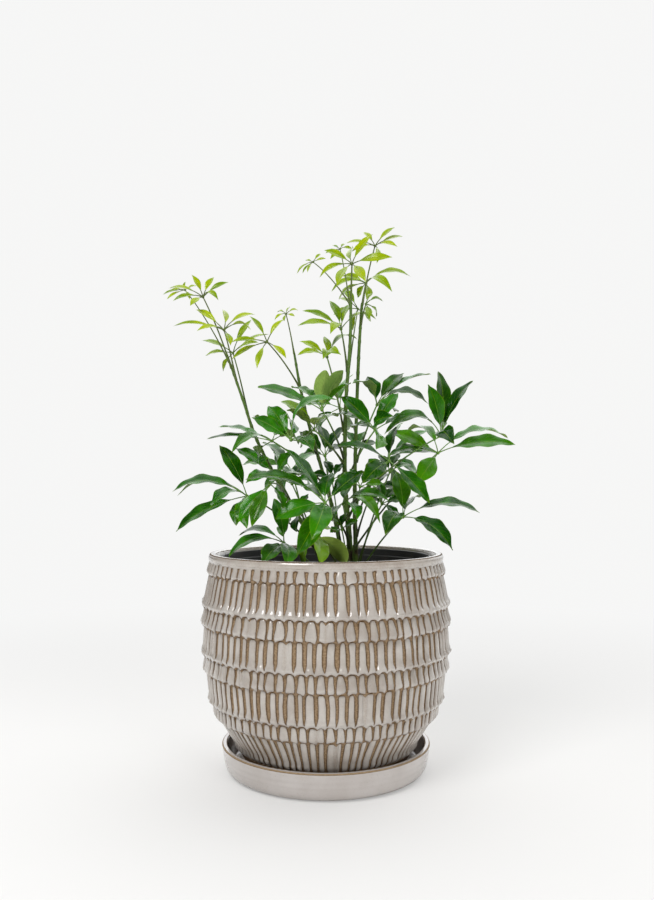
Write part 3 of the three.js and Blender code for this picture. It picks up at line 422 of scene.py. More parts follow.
class Skin:
    """Gathers surfaces worked out on grids into one mesh with materials, a UV map and attributes."""

    def __init__(self) -> None:
        """Starts with no surfaces."""
        self.points: list[np.ndarray] = []
        self.faces: list[np.ndarray] = []
        self.slots: list[np.ndarray] = []
        self.uvs: list[np.ndarray] = []
        self.values: dict[str, list[np.ndarray]] = {}
        self.count = 0

    def add_grid(
        self,
        grid: np.ndarray,
        slot: int = 0,
        wrap: bool = False,
        flip: bool = False,
        uv: np.ndarray | None = None,
        **values: float | np.ndarray,
    ) -> None:
        """Adds a surface. Point (i, j) of the grid is joined to (i + 1, j) and (i, j + 1).

        Args:
            grid: Points in millimetres, shaped (rows, columns, 3).
            slot: Index of the surface's material.
            wrap: Whether the last column joins the first.
            flip: Whether to turn the faces round.
            uv: Place of each point on the surface, shaped (rows, columns, 2).
            values: Named attributes, each a number or an array shaped (rows, columns).
        """
        rows, columns = grid.shape[:2]
        index = self.count + np.arange(rows * columns).reshape(rows, columns)
        if wrap:
            index = np.hstack([index, index[:, :1]])
        corners = [index[:-1, :-1], index[:-1, 1:], index[1:, 1:], index[1:, :-1]]
        quads = np.stack(corners, axis=-1).reshape(-1, 4)
        self.faces.append(quads[:, ::-1] if flip else quads)
        self.points.append(grid.reshape(-1, 3))
        self.slots.append(np.full(len(quads), slot))
        self.uvs.append(np.zeros((rows * columns, 2)) if uv is None else uv.reshape(-1, 2))
        for name, value in values.items():
            whole = np.broadcast_to(np.asarray(value, dtype=float), (rows, columns))
            self.values.setdefault(name, []).append(whole.reshape(-1))
        self.count += rows * columns

    def build(
        self,
        name: str,
        materials: list[bpy.types.Material],
        sharp_deg: float = 55.0,
    ) -> bpy.types.Object:
        """Makes the object, in metres, with its seams and poles merged.

        Args:
            name: The piece's name.
            materials: Materials by index.
            sharp_deg: Edges that turn by more than this stay crisp.

        Returns:
            The finished object, in the scene.
        """
        mesh = bpy.data.meshes.new(name)
        faces = np.vstack(self.faces)
        points = (np.vstack(self.points) - GROUND_Z * UP) * MM
        mesh.from_pydata(points.tolist(), [], faces.tolist())
        for material in materials:
            mesh.materials.append(material)
        mesh.polygons.foreach_set("material_index", np.concatenate(self.slots).astype(np.int32))
        layer = mesh.uv_layers.new(name=UV_NAME)
        corner_uvs = np.vstack(self.uvs)[faces.reshape(-1)]
        layer.data.foreach_set("uv", corner_uvs.astype(np.float32).reshape(-1))
        for value_name, parts in self.values.items():
            attribute = mesh.attributes.new(value_name, "FLOAT", "POINT")
            attribute.data.foreach_set("value", np.concatenate(parts).astype(np.float32))
        work = bmesh.new()
        work.from_mesh(mesh)
        bmesh.ops.remove_doubles(work, verts=work.verts, dist=MERGE_M)
        bmesh.ops.dissolve_degenerate(work, edges=work.edges, dist=SPECK_M)
        work.to_mesh(mesh)
        work.free()
        mesh.polygons.foreach_set("use_smooth", np.ones(len(mesh.polygons), dtype=bool))
        mesh.set_sharp_from_angle(angle=math.radians(sharp_deg))
        return add_object(name, mesh)


def closed_tube(centres: np.ndarray, radii: np.ndarray, sides: int) -> np.ndarray:
    """Points of a round tube: at each centre a circle square to the path, and both ends closed.

    Args:
        centres: Path points, shaped (rows, 3).
        radii: Radius at each path point.
        sides: Points round the circle.

    Returns:
        Grid of points, shaped (rows + 2, sides, 3).
    """
    along = unit(np.gradient(centres, axis=0))
    across = np.where(np.abs(along[:, 1:2]) < 0.9, [[0.0, 1.0, 0.0]], [[1.0, 0.0, 0.0]])
    first = unit(np.cross(across, along))
    second = np.cross(along, first)
    angle = full_turn(sides)[None, :, None]
    ring = np.cos(angle) * first[:, None, :] + np.sin(angle) * second[:, None, :]
    grid = centres[:, None, :] + radii[:, None, None] * ring
    ends = [np.broadcast_to(centres[k], grid[:1].shape) for k in (0, -1)]
    return np.concatenate([ends[0], grid, ends[1]])


def turned(profile: np.ndarray, sides: int) -> np.ndarray:
    """Points of a turned shape: the rows of a profile carried round the pot's axis.

    Args:
        profile: Rows of (radius, height).
        sides: Points round the axis.

    Returns:
        Grid of points, shaped (rows, sides, 3).
    """
    angle = full_turn(sides)[None, :]
    radius = profile[:, :1]
    height = np.broadcast_to(profile[:, 1:2], (len(profile), sides))
    return np.stack([radius * np.cos(angle), radius * np.sin(angle), height], axis=-1)


def unit_ball(rings: int, sides: int) -> np.ndarray:
    """Points of a ball of radius 1: circles from pole to pole, each as wide as its angle's sine.

    Args:
        rings: Circles, with the two poles.
        sides: Points round each circle.

    Returns:
        Grid of points, shaped (rings, sides, 3).
    """
    lat = np.linspace(0, np.pi, rings)[:, None]
    lon = full_turn(sides)[None, :]
    level = np.cos(lat) + 0 * lon
    return np.stack([np.sin(lat) * np.cos(lon), np.sin(lat) * np.sin(lon), level], axis=-1)


def rounded(corners: list[tuple[float, float, float]], steps: int) -> np.ndarray:
    """A profile with each corner rounded by a curve that starts and ends a given distance from it.

    Args:
        corners: (radius, height, rounding) rows in order. A rounding of 0 keeps the corner.
        steps: Points on each rounded corner.

    Returns:
        Rows of (radius, height).
    """
    rows: list[np.ndarray] = []
    places = np.array([corner[:2] for corner in corners], dtype=float)
    for i, (_, _, size) in enumerate(corners):
        if size == 0:
            rows.append(places[i : i + 1])
            continue
        start = places[i] + size * unit(places[i - 1] - places[i])
        end = places[i] + size * unit(places[i + 1] - places[i])
        rows.append(bend(start, places[i], end, steps))
    return np.vstack(rows)


class NodeTree:
    """Short ways to add and join shader nodes in a material or a node group."""

    def __init__(self, tree: bpy.types.NodeTree) -> None:
        """Works on one node tree."""
        self.tree = tree

    def feed(self, made: bpy.types.Node, inputs: dict) -> None:
        """Sets a node's inputs: a socket is joined to its input, and anything else becomes its value.

        Args:
            made: The node.
            inputs: Values or sockets by input name or index.
        """
        for key, value in inputs.items():
            if isinstance(value, Socket):
                self.tree.links.new(value, made.inputs[key])
            else:
                made.inputs[key].default_value = value

    def node(self, kind: str, inputs: dict | None = None, **settings: object) -> bpy.types.Node:
        """Adds a node.

        Args:
            kind: The node's Blender type.
            inputs: Values, or sockets to join, by input name or index.
            settings: Properties of the node itself.

        Returns:
            The new node.
        """
        made = self.tree.nodes.new(kind)
        for key, value in settings.items():
            setattr(made, key, value)
        self.feed(made, inputs or {})
        return made

    def math(self, operation: str, *numbers: Amount) -> Socket:
        """The result of one sum on sockets or numbers, kept as it is outside 0 to 1."""
        return self.node("ShaderNodeMath", dict(enumerate(numbers)), operation=operation).outputs[0]

    def times(self, first: Amount, second: Amount) -> Socket:
        """The product of two amounts."""
        return self.math("MULTIPLY", first, second)

    def inverse(self, value: Amount) -> Socket:
        """1 less the value."""
        return self.math("SUBTRACT", 1.0, value)

    def jitter(self, noise: Socket, strength: Amount, value: Socket) -> Socket:
        """The value plus strength times a noise's distance from its middle, 0.5."""
        return self.math("MULTIPLY_ADD", self.math("SUBTRACT", noise, 0.5), strength, value)

    def mix(self, factor: Amount, first: Tint, second: Tint) -> Socket:
        """A colour from the first, at factor 0, to the second, at 1."""
        made = self.node("ShaderNodeMix", {0: factor, 6: first, 7: second}, data_type="RGBA")
        return made.outputs[2]

    def ramp(self, value: Amount, low: float, high: float) -> Socket:
        """A smooth step: 0 below low and 1 above high."""
        inputs = {0: value, 1: low, 2: high}
        return self.node("ShaderNodeMapRange", inputs, interpolation_type="SMOOTHSTEP").outputs[0]

    def blend(self, value: Amount, low: float, high: float) -> Socket:
        """A value from low to high, as value goes from 0 to 1."""
        return self.node("ShaderNodeMapRange", {0: value, 3: low, 4: high}).outputs[0]

    def attribute(self, name: str) -> Socket:
        """The piece's own named value."""
        return self.node("ShaderNodeAttribute", attribute_name=name).outputs["Fac"]

    def coordinates(self, kind: str = "Object") -> Socket:
        """The piece's own place at each point, or another of the coordinates."""
        return self.node("ShaderNodeTexCoord").outputs[kind]

    def spots(self, per_metre: float, inner: float, outer: float) -> Socket:
        """Scattered round spots, about per_metre to a metre.

        Args:
            per_metre: Cells to a metre, each with one spot.
            inner: How far from its middle, in cells, a spot is full.
            outer: Where it has faded out.

        Returns:
            1 in a spot and 0 between the spots.
        """
        cells = self.node("ShaderNodeTexVoronoi", {"Vector": self.coordinates(), "Scale": per_metre})
        return self.inverse(self.ramp(cells.outputs["Distance"], inner, outer))

    def group(self, tree: bpy.types.NodeTree, inputs: dict[str, float]) -> bpy.types.NodeOutputs:
        """The outputs of a node group placed with its own values."""
        return self.node("ShaderNodeGroup", inputs, node_tree=tree).outputs

    def dress(
        self,
        shader: bpy.types.Node,
        colour: Socket,
        roughness: Socket,
        height: Socket,
        strength: float,
        depth_mm: float,
    ) -> None:
        """Joins the three things that every finish varies to its shader.

        Args:
            shader: The Principled BSDF.
            colour: The base colour.
            roughness: The roughness.
            height: Height of the fine relief, from 0 to 1.
            strength: How much of the relief shows, from 0 to 1.
            depth_mm: Depth of the relief in millimetres.
        """
        values = {"Height": height, "Strength": strength, "Distance": depth_mm * MM}
        bump = self.node("ShaderNodeBump", values)
        self.feed(shader, {"Base Color": colour, "Roughness": roughness, "Normal": bump.outputs[0]})


def new_group(
    name: str,
    inputs: dict[str, float],
    outputs: list[str],
) -> tuple[bpy.types.NodeTree, NodeTree]:
    """Starts a shader node group with named number sockets.

    Args:
        name: The group's name.
        inputs: Input names with their default values.
        outputs: Output names.

    Returns:
        The group, and the helper that works on it.
    """
    tree = bpy.data.node_groups.new(name, "ShaderNodeTree")
    for socket, default in inputs.items():
        made = tree.interface.new_socket(socket, in_out="INPUT", socket_type="NodeSocketFloat")
        made.default_value = default
    for socket in outputs:
        tree.interface.new_socket(socket, in_out="OUTPUT", socket_type="NodeSocketFloat")
    return tree, NodeTree(tree)


class Effects:
    """The shader node groups that several finishes share."""

    def __init__(self) -> None:
        """Builds each group once."""
        self.mottle = self._make_mottle()
        self.veins = self._make_veins()

    def _make_mottle(self) -> bpy.types.NodeTree:
        """Soft clouds from 0 to 1, with fine grain added to them, by the piece's own place.

        Returns:
            The group. Its sizes are in millimetres.
        """
        inputs = {"Cloud Size": 30.0, "Grain Size": 2.0, "Grain": 0.4}
        tree, kit = new_group("mottle", inputs, ["Value", "Grain"])
        source = kit.node("NodeGroupInput").outputs
        place = kit.coordinates()
        metre = 1.0 / MM
        cloud = kit.node("ShaderNodeTexNoise", {
            "Vector": place,
            "Scale": kit.math("DIVIDE", metre, source["Cloud Size"]),
            "Detail": 3.0,
        })
        grain = kit.node("ShaderNodeTexNoise", {
            "Vector": place,
            "Scale": kit.math("DIVIDE", metre, source["Grain Size"]),
            "Detail": 4.0,
            "Roughness": 0.65,
        })
        value = kit.jitter(grain.outputs[0], source["Grain"], kit.ramp(cloud.outputs[0], 0.3, 0.7))
        kit.node("NodeGroupOutput", {"Value": value, "Grain": grain.outputs[0]})
        return tree

    def _make_veins(self) -> bpy.types.NodeTree:
        """A leaf blade's rib, side veins and edge, by its UV map: u along the blade and v across it.

        The side veins are the zeros of a sine wave along u, which lags the further v is from the rib.

        Returns:
            The group.
        """
        inputs = {"Count": 9.0, "Sweep": 2.4, "Rib Width": 0.05}
        tree, kit = new_group("veins", inputs, ["Rib", "Vein", "Edge"])
        source = kit.node("NodeGroupInput").outputs
        place = kit.node("ShaderNodeUVMap", uv_map=UV_NAME).outputs[0]
        split = kit.node("ShaderNodeSeparateXYZ", {0: place}).outputs
        away = kit.times(kit.math("ABSOLUTE", kit.math("SUBTRACT", split[1], 0.5)), 2.0)
        near = kit.math("MINIMUM", kit.math("DIVIDE", away, source["Rib Width"]), 1.0)
        swept = kit.times(kit.math("POWER", away, 1.3), source["Sweep"])
        phase = kit.math("SUBTRACT", kit.times(split[0], source["Count"]), swept)
        wave = kit.math("ABSOLUTE", kit.math("SINE", kit.times(phase, math.pi)))
        vein = kit.inverse(kit.ramp(wave, 0.0, 0.3))
        fade = kit.inverse(kit.ramp(away, 0.72, 0.98))
        edge = kit.math("MAXIMUM", kit.ramp(away, 0.84, 1.0), kit.ramp(split[0], 0.88, 1.0))
        outputs = {"Rib": kit.inverse(near), "Vein": kit.times(vein, fade), "Edge": edge}
        kit.node("NodeGroupOutput", outputs)
        return tree

    def add_mottle(self, kit: NodeTree, cloud: float, grain: float, share: float) -> bpy.types.NodeOutputs:
        """Places the mottle in a material.

        Args:
            kit: The material's nodes.
            cloud: Size of the clouds in millimetres.
            grain: Size of the grain in millimetres.
            share: How strongly the grain shows over the clouds.

        Returns:
            Value, which has both, and Grain alone.
        """
        return kit.group(self.mottle, {"Cloud Size": cloud, "Grain Size": grain, "Grain": share})


def srgb(red: int, green: int, blue: int) -> Colour:
    """A linear colour from 8-bit screen values, by the screen's own curve.

    Args:
        red: Red, 0 to 255.
        green: Green, 0 to 255.
        blue: Blue, 0 to 255.

    Returns:
        The opaque colour.
    """
    values = np.array([red, green, blue]) / 255
    linear = np.where(values <= 0.04045, values / 12.92, ((values + 0.055) / 1.055) ** 2.4)
    return (*(float(v) for v in linear), 1.0)


def start_material(name: str) -> tuple[bpy.types.Material, NodeTree, bpy.types.Node]:
    """A new node material with its Principled BSDF.

    Args:
        name: The material's name.

    Returns:
        The material, the helper for its nodes, and the shader node.
    """
    material = bpy.data.materials.new(name)
    material.use_nodes = True
    shader = material.node_tree.nodes["Principled BSDF"]
    return material, NodeTree(material.node_tree), shader


@dataclass(frozen=True)
class BladeFinish:
    """One side of the leaf blades.

    dark and light are the ends of a grown blade's tones, and young_dark and young those of a young one's.
    The shares say how much of the vein colour goes over the side veins, the rib and the edge.
    """

    name: str
    dark: Colour
    light: Colour
    young: Colour
    young_dark: Colour
    vein: Colour
    roughness: float
    specular: float
    relief: float
    tone_spread: float = 0.35
    vein_share: float = 0.12
    rib_share: float = 0.5
    edge_share: float = 0.3

    def build(self, effects: Effects) -> bpy.types.Material:
        """Makes the material. age and tone come from the blade's attributes.

        Args:
            effects: The shared node groups.

        Returns:
            The material.
        """
        material, kit, shader = start_material(self.name)
        mottle = effects.add_mottle(kit, 14.0, 1.1, 0.5)
        veins = kit.group(effects.veins, {"Count": 9.0, "Sweep": 2.6, "Rib Width": 0.055})
        age = kit.attribute("age")
        tone = kit.jitter(mottle["Value"], self.tone_spread, kit.attribute("tone"))
        mature = kit.mix(kit.ramp(tone, 0.0, 1.0), self.dark, self.light)
        fresh = kit.mix(kit.ramp(tone, 0.3, 0.95), self.young_dark, self.young)
        colour = kit.mix(age, mature, fresh)
        for part, share in (("Vein", self.vein_share), ("Rib", self.rib_share), ("Edge", self.edge_share)):
            colour = kit.mix(kit.times(veins[part], share), colour, self.vein)
        rough = kit.blend(mottle["Grain"], self.roughness - 0.06, self.roughness + 0.1)
        height = kit.math("MULTIPLY_ADD", veins["Vein"], -0.6, kit.times(mottle["Grain"], 0.35))
        height = kit.times(height, kit.blend(age, 1.0, 0.25))
        kit.dress(shader, colour, rough, height, self.relief, 0.4)
        shader.inputs["Specular IOR Level"].default_value = self.specular
        return material


@dataclass(frozen=True)
class StalkFinish:
    """Leaf stalks: green, turning dark and brown towards the cane."""

    name: str = "stalk_skin"
    green: Colour = srgb(104, 146, 54)
    dark: Colour = srgb(54, 68, 28)
    young: Colour = srgb(88, 106, 40)

    def build(self, effects: Effects) -> bpy.types.Material:
        """Makes the material. tone is 0 at the stalk's foot and 1 at the hub.

        Args:
            effects: The shared node groups.

        Returns:
            The material.
        """
        material, kit, shader = start_material(self.name)
        mottle = effects.add_mottle(kit, 9.0, 0.8, 0.6)
        place = kit.jitter(mottle["Value"], 0.3, kit.attribute("tone"))
        grown = kit.mix(kit.ramp(place, 0.1, 0.95), self.dark, self.green)
        colour = kit.mix(kit.attribute("age"), grown, self.young)
        kit.dress(shader, colour, kit.blend(mottle["Grain"], 0.35, 0.6), mottle["Grain"], 0.3, 0.2)
        return material


@dataclass(frozen=True)
class BarkFinish:
    """Cane skin: corky brown at the foot, green higher up, with pale pores."""

    name: str = "cane_bark"
    brown: Colour = srgb(96, 78, 58)
    dark: Colour = srgb(50, 40, 30)
    green: Colour = srgb(84, 114, 42)
    pore: Colour = srgb(170, 156, 120)
    pores_per_metre: float = 260.0

    def build(self, effects: Effects) -> bpy.types.Material:
        """Makes the material. tone is 0 at the cane's foot and 1 at its top.

        Args:
            effects: The shared node groups.

        Returns:
            The material.
        """
        material, kit, shader = start_material(self.name)
        mottle = effects.add_mottle(kit, 12.0, 1.4, 0.9)
        bark = kit.mix(mottle["Value"], self.dark, self.brown)
        place = kit.jitter(mottle["Value"], 0.25, kit.attribute("tone"))
        grown = kit.mix(kit.ramp(place, 0.14, 0.32), bark, self.green)
        pores = kit.spots(self.pores_per_metre, 0.08, 0.2)
        colour = kit.mix(kit.times(pores, 0.5), grown, self.pore)
        height = kit.math("MULTIPLY_ADD", mottle["Grain"], 1.0, kit.times(pores, 0.6))
        kit.dress(shader, colour, kit.blend(mottle["Grain"], 0.45, 0.8), height, 0.55, 0.4)
        return material


@dataclass(frozen=True)
class GlazeFinish:
    """Thick pale glaze that breaks to bare brown clay in the carved grooves and along edges."""

    name: str
    pale: Colour
    warm: Colour
    clay: Colour
    clay_light: Colour
    clay_dark: Colour
    speck: Colour
    specks_per_metre: float = 330.0
    coat_roughness: float = 0.04

    def build(self, effects: Effects) -> bpy.types.Material:
        """Makes the material.

        The attribute clay goes from 0, thick glaze, over dark seams to 1, bare clay.

        Args:
            effects: The shared node groups.

        Returns:
            The material.
        """
        material, kit, shader = start_material(self.name)
        mottle = effects.add_mottle(kit, 26.0, 1.6, 0.5)
        specks = kit.spots(self.specks_per_metre, 0.06, 0.16)
        glaze = kit.mix(mottle["Value"], self.pale, self.warm)
        specked = kit.mix(kit.times(specks, 0.3), glaze, self.speck)
        ragged = kit.jitter(mottle["Grain"], 0.4, kit.attribute("clay"))
        thin = kit.mix(kit.times(kit.ramp(ragged, 0.0, 0.4), 0.35), specked, self.clay)
        sandy = kit.mix(kit.ramp(mottle["Grain"], 0.35, 0.65), self.clay, self.clay_light)
        bare = kit.mix(kit.ramp(ragged, 0.6, 0.85), self.clay_dark, sandy)
        mask = kit.ramp(ragged, 0.3, 0.46)
        height = kit.times(mottle["Grain"], mask)
        kit.dress(shader, kit.mix(mask, thin, bare), kit.blend(mask, 0.14, 0.75), height, 0.5, 0.3)
        kit.feed(shader, {"Coat Weight": kit.blend(mask, 1.0, 0.0)})
        shader.inputs["Coat Roughness"].default_value = self.coat_roughness
        return material


@dataclass(frozen=True)
class PlasticFinish:
    """Moulded charcoal plastic of the grower's pot, dusty and a little scuffed."""

    name: str = "grower_plastic"
    base: Colour = srgb(58, 58, 60)
    dust: Colour = srgb(112, 104, 94)

    def build(self, effects: Effects) -> bpy.types.Material:
        """Makes the material, with dust where the mottle is strongest.

        Args:
            effects: The shared node groups.

        Returns:
            The material.
        """
        material, kit, shader = start_material(self.name)
        mottle = effects.add_mottle(kit, 18.0, 0.9, 0.7)
        dusty = kit.ramp(mottle["Value"], 0.55, 1.1)
        colour = kit.mix(kit.times(dusty, 0.35), self.base, self.dust)
        kit.dress(shader, colour, kit.blend(dusty, 0.42, 0.75), mottle["Grain"], 0.25, 0.15)
        return material


@dataclass(frozen=True)
class SoilFinish:
    """Damp potting mix of bark, peat and a few white grains."""

    name: str
    dark: Colour
    brown: Colour
    grain_mm: float
    white: Colour = srgb(226, 220, 208)

    def build(self, effects: Effects) -> bpy.types.Material:
        """Makes the material. tone lightens single bits.

        Args:
            effects: The shared node groups.

        Returns:
            The material.
        """
        material, kit, shader = start_material(self.name)
        mottle = effects.add_mottle(kit, 11.0, self.grain_mm, 1.2)
        body = kit.mix(mottle["Value"], self.dark, self.brown)
        colour = kit.mix(kit.attribute("tone"), body, self.white)
        kit.dress(shader, colour, kit.blend(mottle["Grain"], 0.75, 0.98), mottle["Grain"], 0.9, 0.9)
        return material


POT_GLAZE = GlazeFinish(
    name="pot_glaze",
    pale=srgb(197, 191, 184),
    warm=srgb(174, 165, 156),
    clay=srgb(136, 110, 80),
    clay_light=srgb(158, 134, 104),
    clay_dark=srgb(92, 70, 46),
    speck=srgb(150, 138, 122),
)
SAUCER_GLAZE = GlazeFinish(
    name="saucer_glaze",
    pale=srgb(205, 199, 195),
    warm=srgb(195, 188, 183),
    clay=srgb(156, 132, 100),
    clay_light=srgb(172, 150, 118),
    clay_dark=srgb(118, 94, 66),
    speck=srgb(140, 126, 112),
)
BLADE_TOP = BladeFinish(
    name="leaf_upper_side",
    dark=srgb(6, 58, 1),
    light=srgb(54, 134, 2),
    young=srgb(163, 182, 2),
    young_dark=srgb(107, 142, 2),
    vein=srgb(132, 164, 24),
    roughness=0.19,
    specular=0.28,
    relief=0.2,
)
BLADE_UNDER = BladeFinish(
    name="leaf_underside",
    dark=srgb(96, 130, 58),
    light=srgb(130, 160, 74),
    young=srgb(158, 180, 60),
    young_dark=srgb(132, 156, 60),
    vein=srgb(152, 176, 96),
    roughness=0.55,
    specular=0.25,
    relief=0.7,
)
SOIL = SoilFinish("potting_mix", srgb(34, 25, 18), srgb(78, 58, 42), 2.2)
BARK_BITS = SoilFinish("bark_bits", srgb(62, 42, 28), srgb(126, 92, 62), 1.2)


def place_piece(piece: bpy.types.Object, slot: str, *nodes: str) -> None:
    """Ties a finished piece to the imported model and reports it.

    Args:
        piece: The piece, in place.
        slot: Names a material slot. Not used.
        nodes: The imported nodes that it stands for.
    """
    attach(piece, BODY)
    if nodes:
        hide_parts(*nodes)
    log.info("%s: %d faces", piece.name, len(piece.data.polygons))


@dataclass
class Saucer:
    """Plain glazed dish with thin tan lines along the edges of its rim and foot.

    belly says how far the wall stands out of its foot, at what height over the base, and its rounding.
    wave is the depth of the throwing rings, as a share of the radius, and wave_turn how fast they follow
    each other, in radians to a millimetre.
    """

    base_z: float = GROUND_Z
    foot_radius: float = 89.0
    corner: float = 10.0
    belly: tuple[float, float, float] = (2.6, 15.0, 3.0)
    rim_radius: float = 103.2
    rim_z: float = 38.0
    wall: float = 5.5
    floor_z: float = 15.0
    line_width: float = 0.5
    line_inset: float = 0.7
    wave: float = 0.0009
    wave_turn: float = 1.1
    step: float = 1.6
    sides: int = 256

    def profile(self) -> np.ndarray:
        """The dish's outline, from its underside's middle round its rim to its floor's middle.

        Returns:
            Rows of (radius, height).
        """
        base = self.foot_radius + self.corner
        middle = self.foot_radius * 0.6
        out, up, rounding = self.belly
        return rounded([
            (0, self.base_z, 0),
            (middle, self.base_z, 0),
            (base, self.base_z, self.corner),
            (base + out, self.base_z + up, rounding),
            (self.rim_radius, self.rim_z, self.wall * 0.42),
            (self.rim_radius - self.wall, self.rim_z, self.wall * 0.42),
            (base - self.wall, self.floor_z, self.wall),
            (middle, self.floor_z, 0),
            (0, self.floor_z, 0),
        ], 9)

    def line(self, distance: np.ndarray) -> np.ndarray:
        """How bare the clay is near an edge: a bell curve of the distance from it."""
        return np.exp(-((distance / self.line_width) ** 2))

    def build(self, finish: bpy.types.Material) -> None:
        """Carries the outline round the axis in short steps, with slight throwing rings in its wall.

        Args:
            finish: The glaze.
        """
        coarse = self.profile()
        length = lengths(coarse)
        fine = np.unique(np.concatenate([length, np.arange(0, length[-1], self.step)]))
        outline = look_up(coarse, length, fine)
        grid = turned(outline, self.sides)
        radius = outline[:, :1]
        height = outline[:, 1:2]
        outside = (radius > self.foot_radius + self.corner - 1) & (height > self.base_z + self.corner)
        rings = np.where(outside, self.wave * np.sin(height * self.wave_turn), 0.0)
        grid[..., :2] *= 1 + rings[..., None]
        near_rim = height > self.rim_z - 2 * self.line_inset
        clay = near_rim * self.line(radius - self.rim_radius + self.line_inset)
        clay = clay + near_rim * 0.8 * self.line(radius - self.rim_radius + self.wall - self.line_inset)
        clay = clay + (radius > self.foot_radius) * 0.7 * self.line(height - self.base_z - 0.9)
        skin = Skin()
        skin.add_grid(grid, wrap=True, clay=np.broadcast_to(clay, grid.shape[:2]))
        place_piece(skin.build("saucer_dish", [finish]), "saucer_glaze", "saucer")


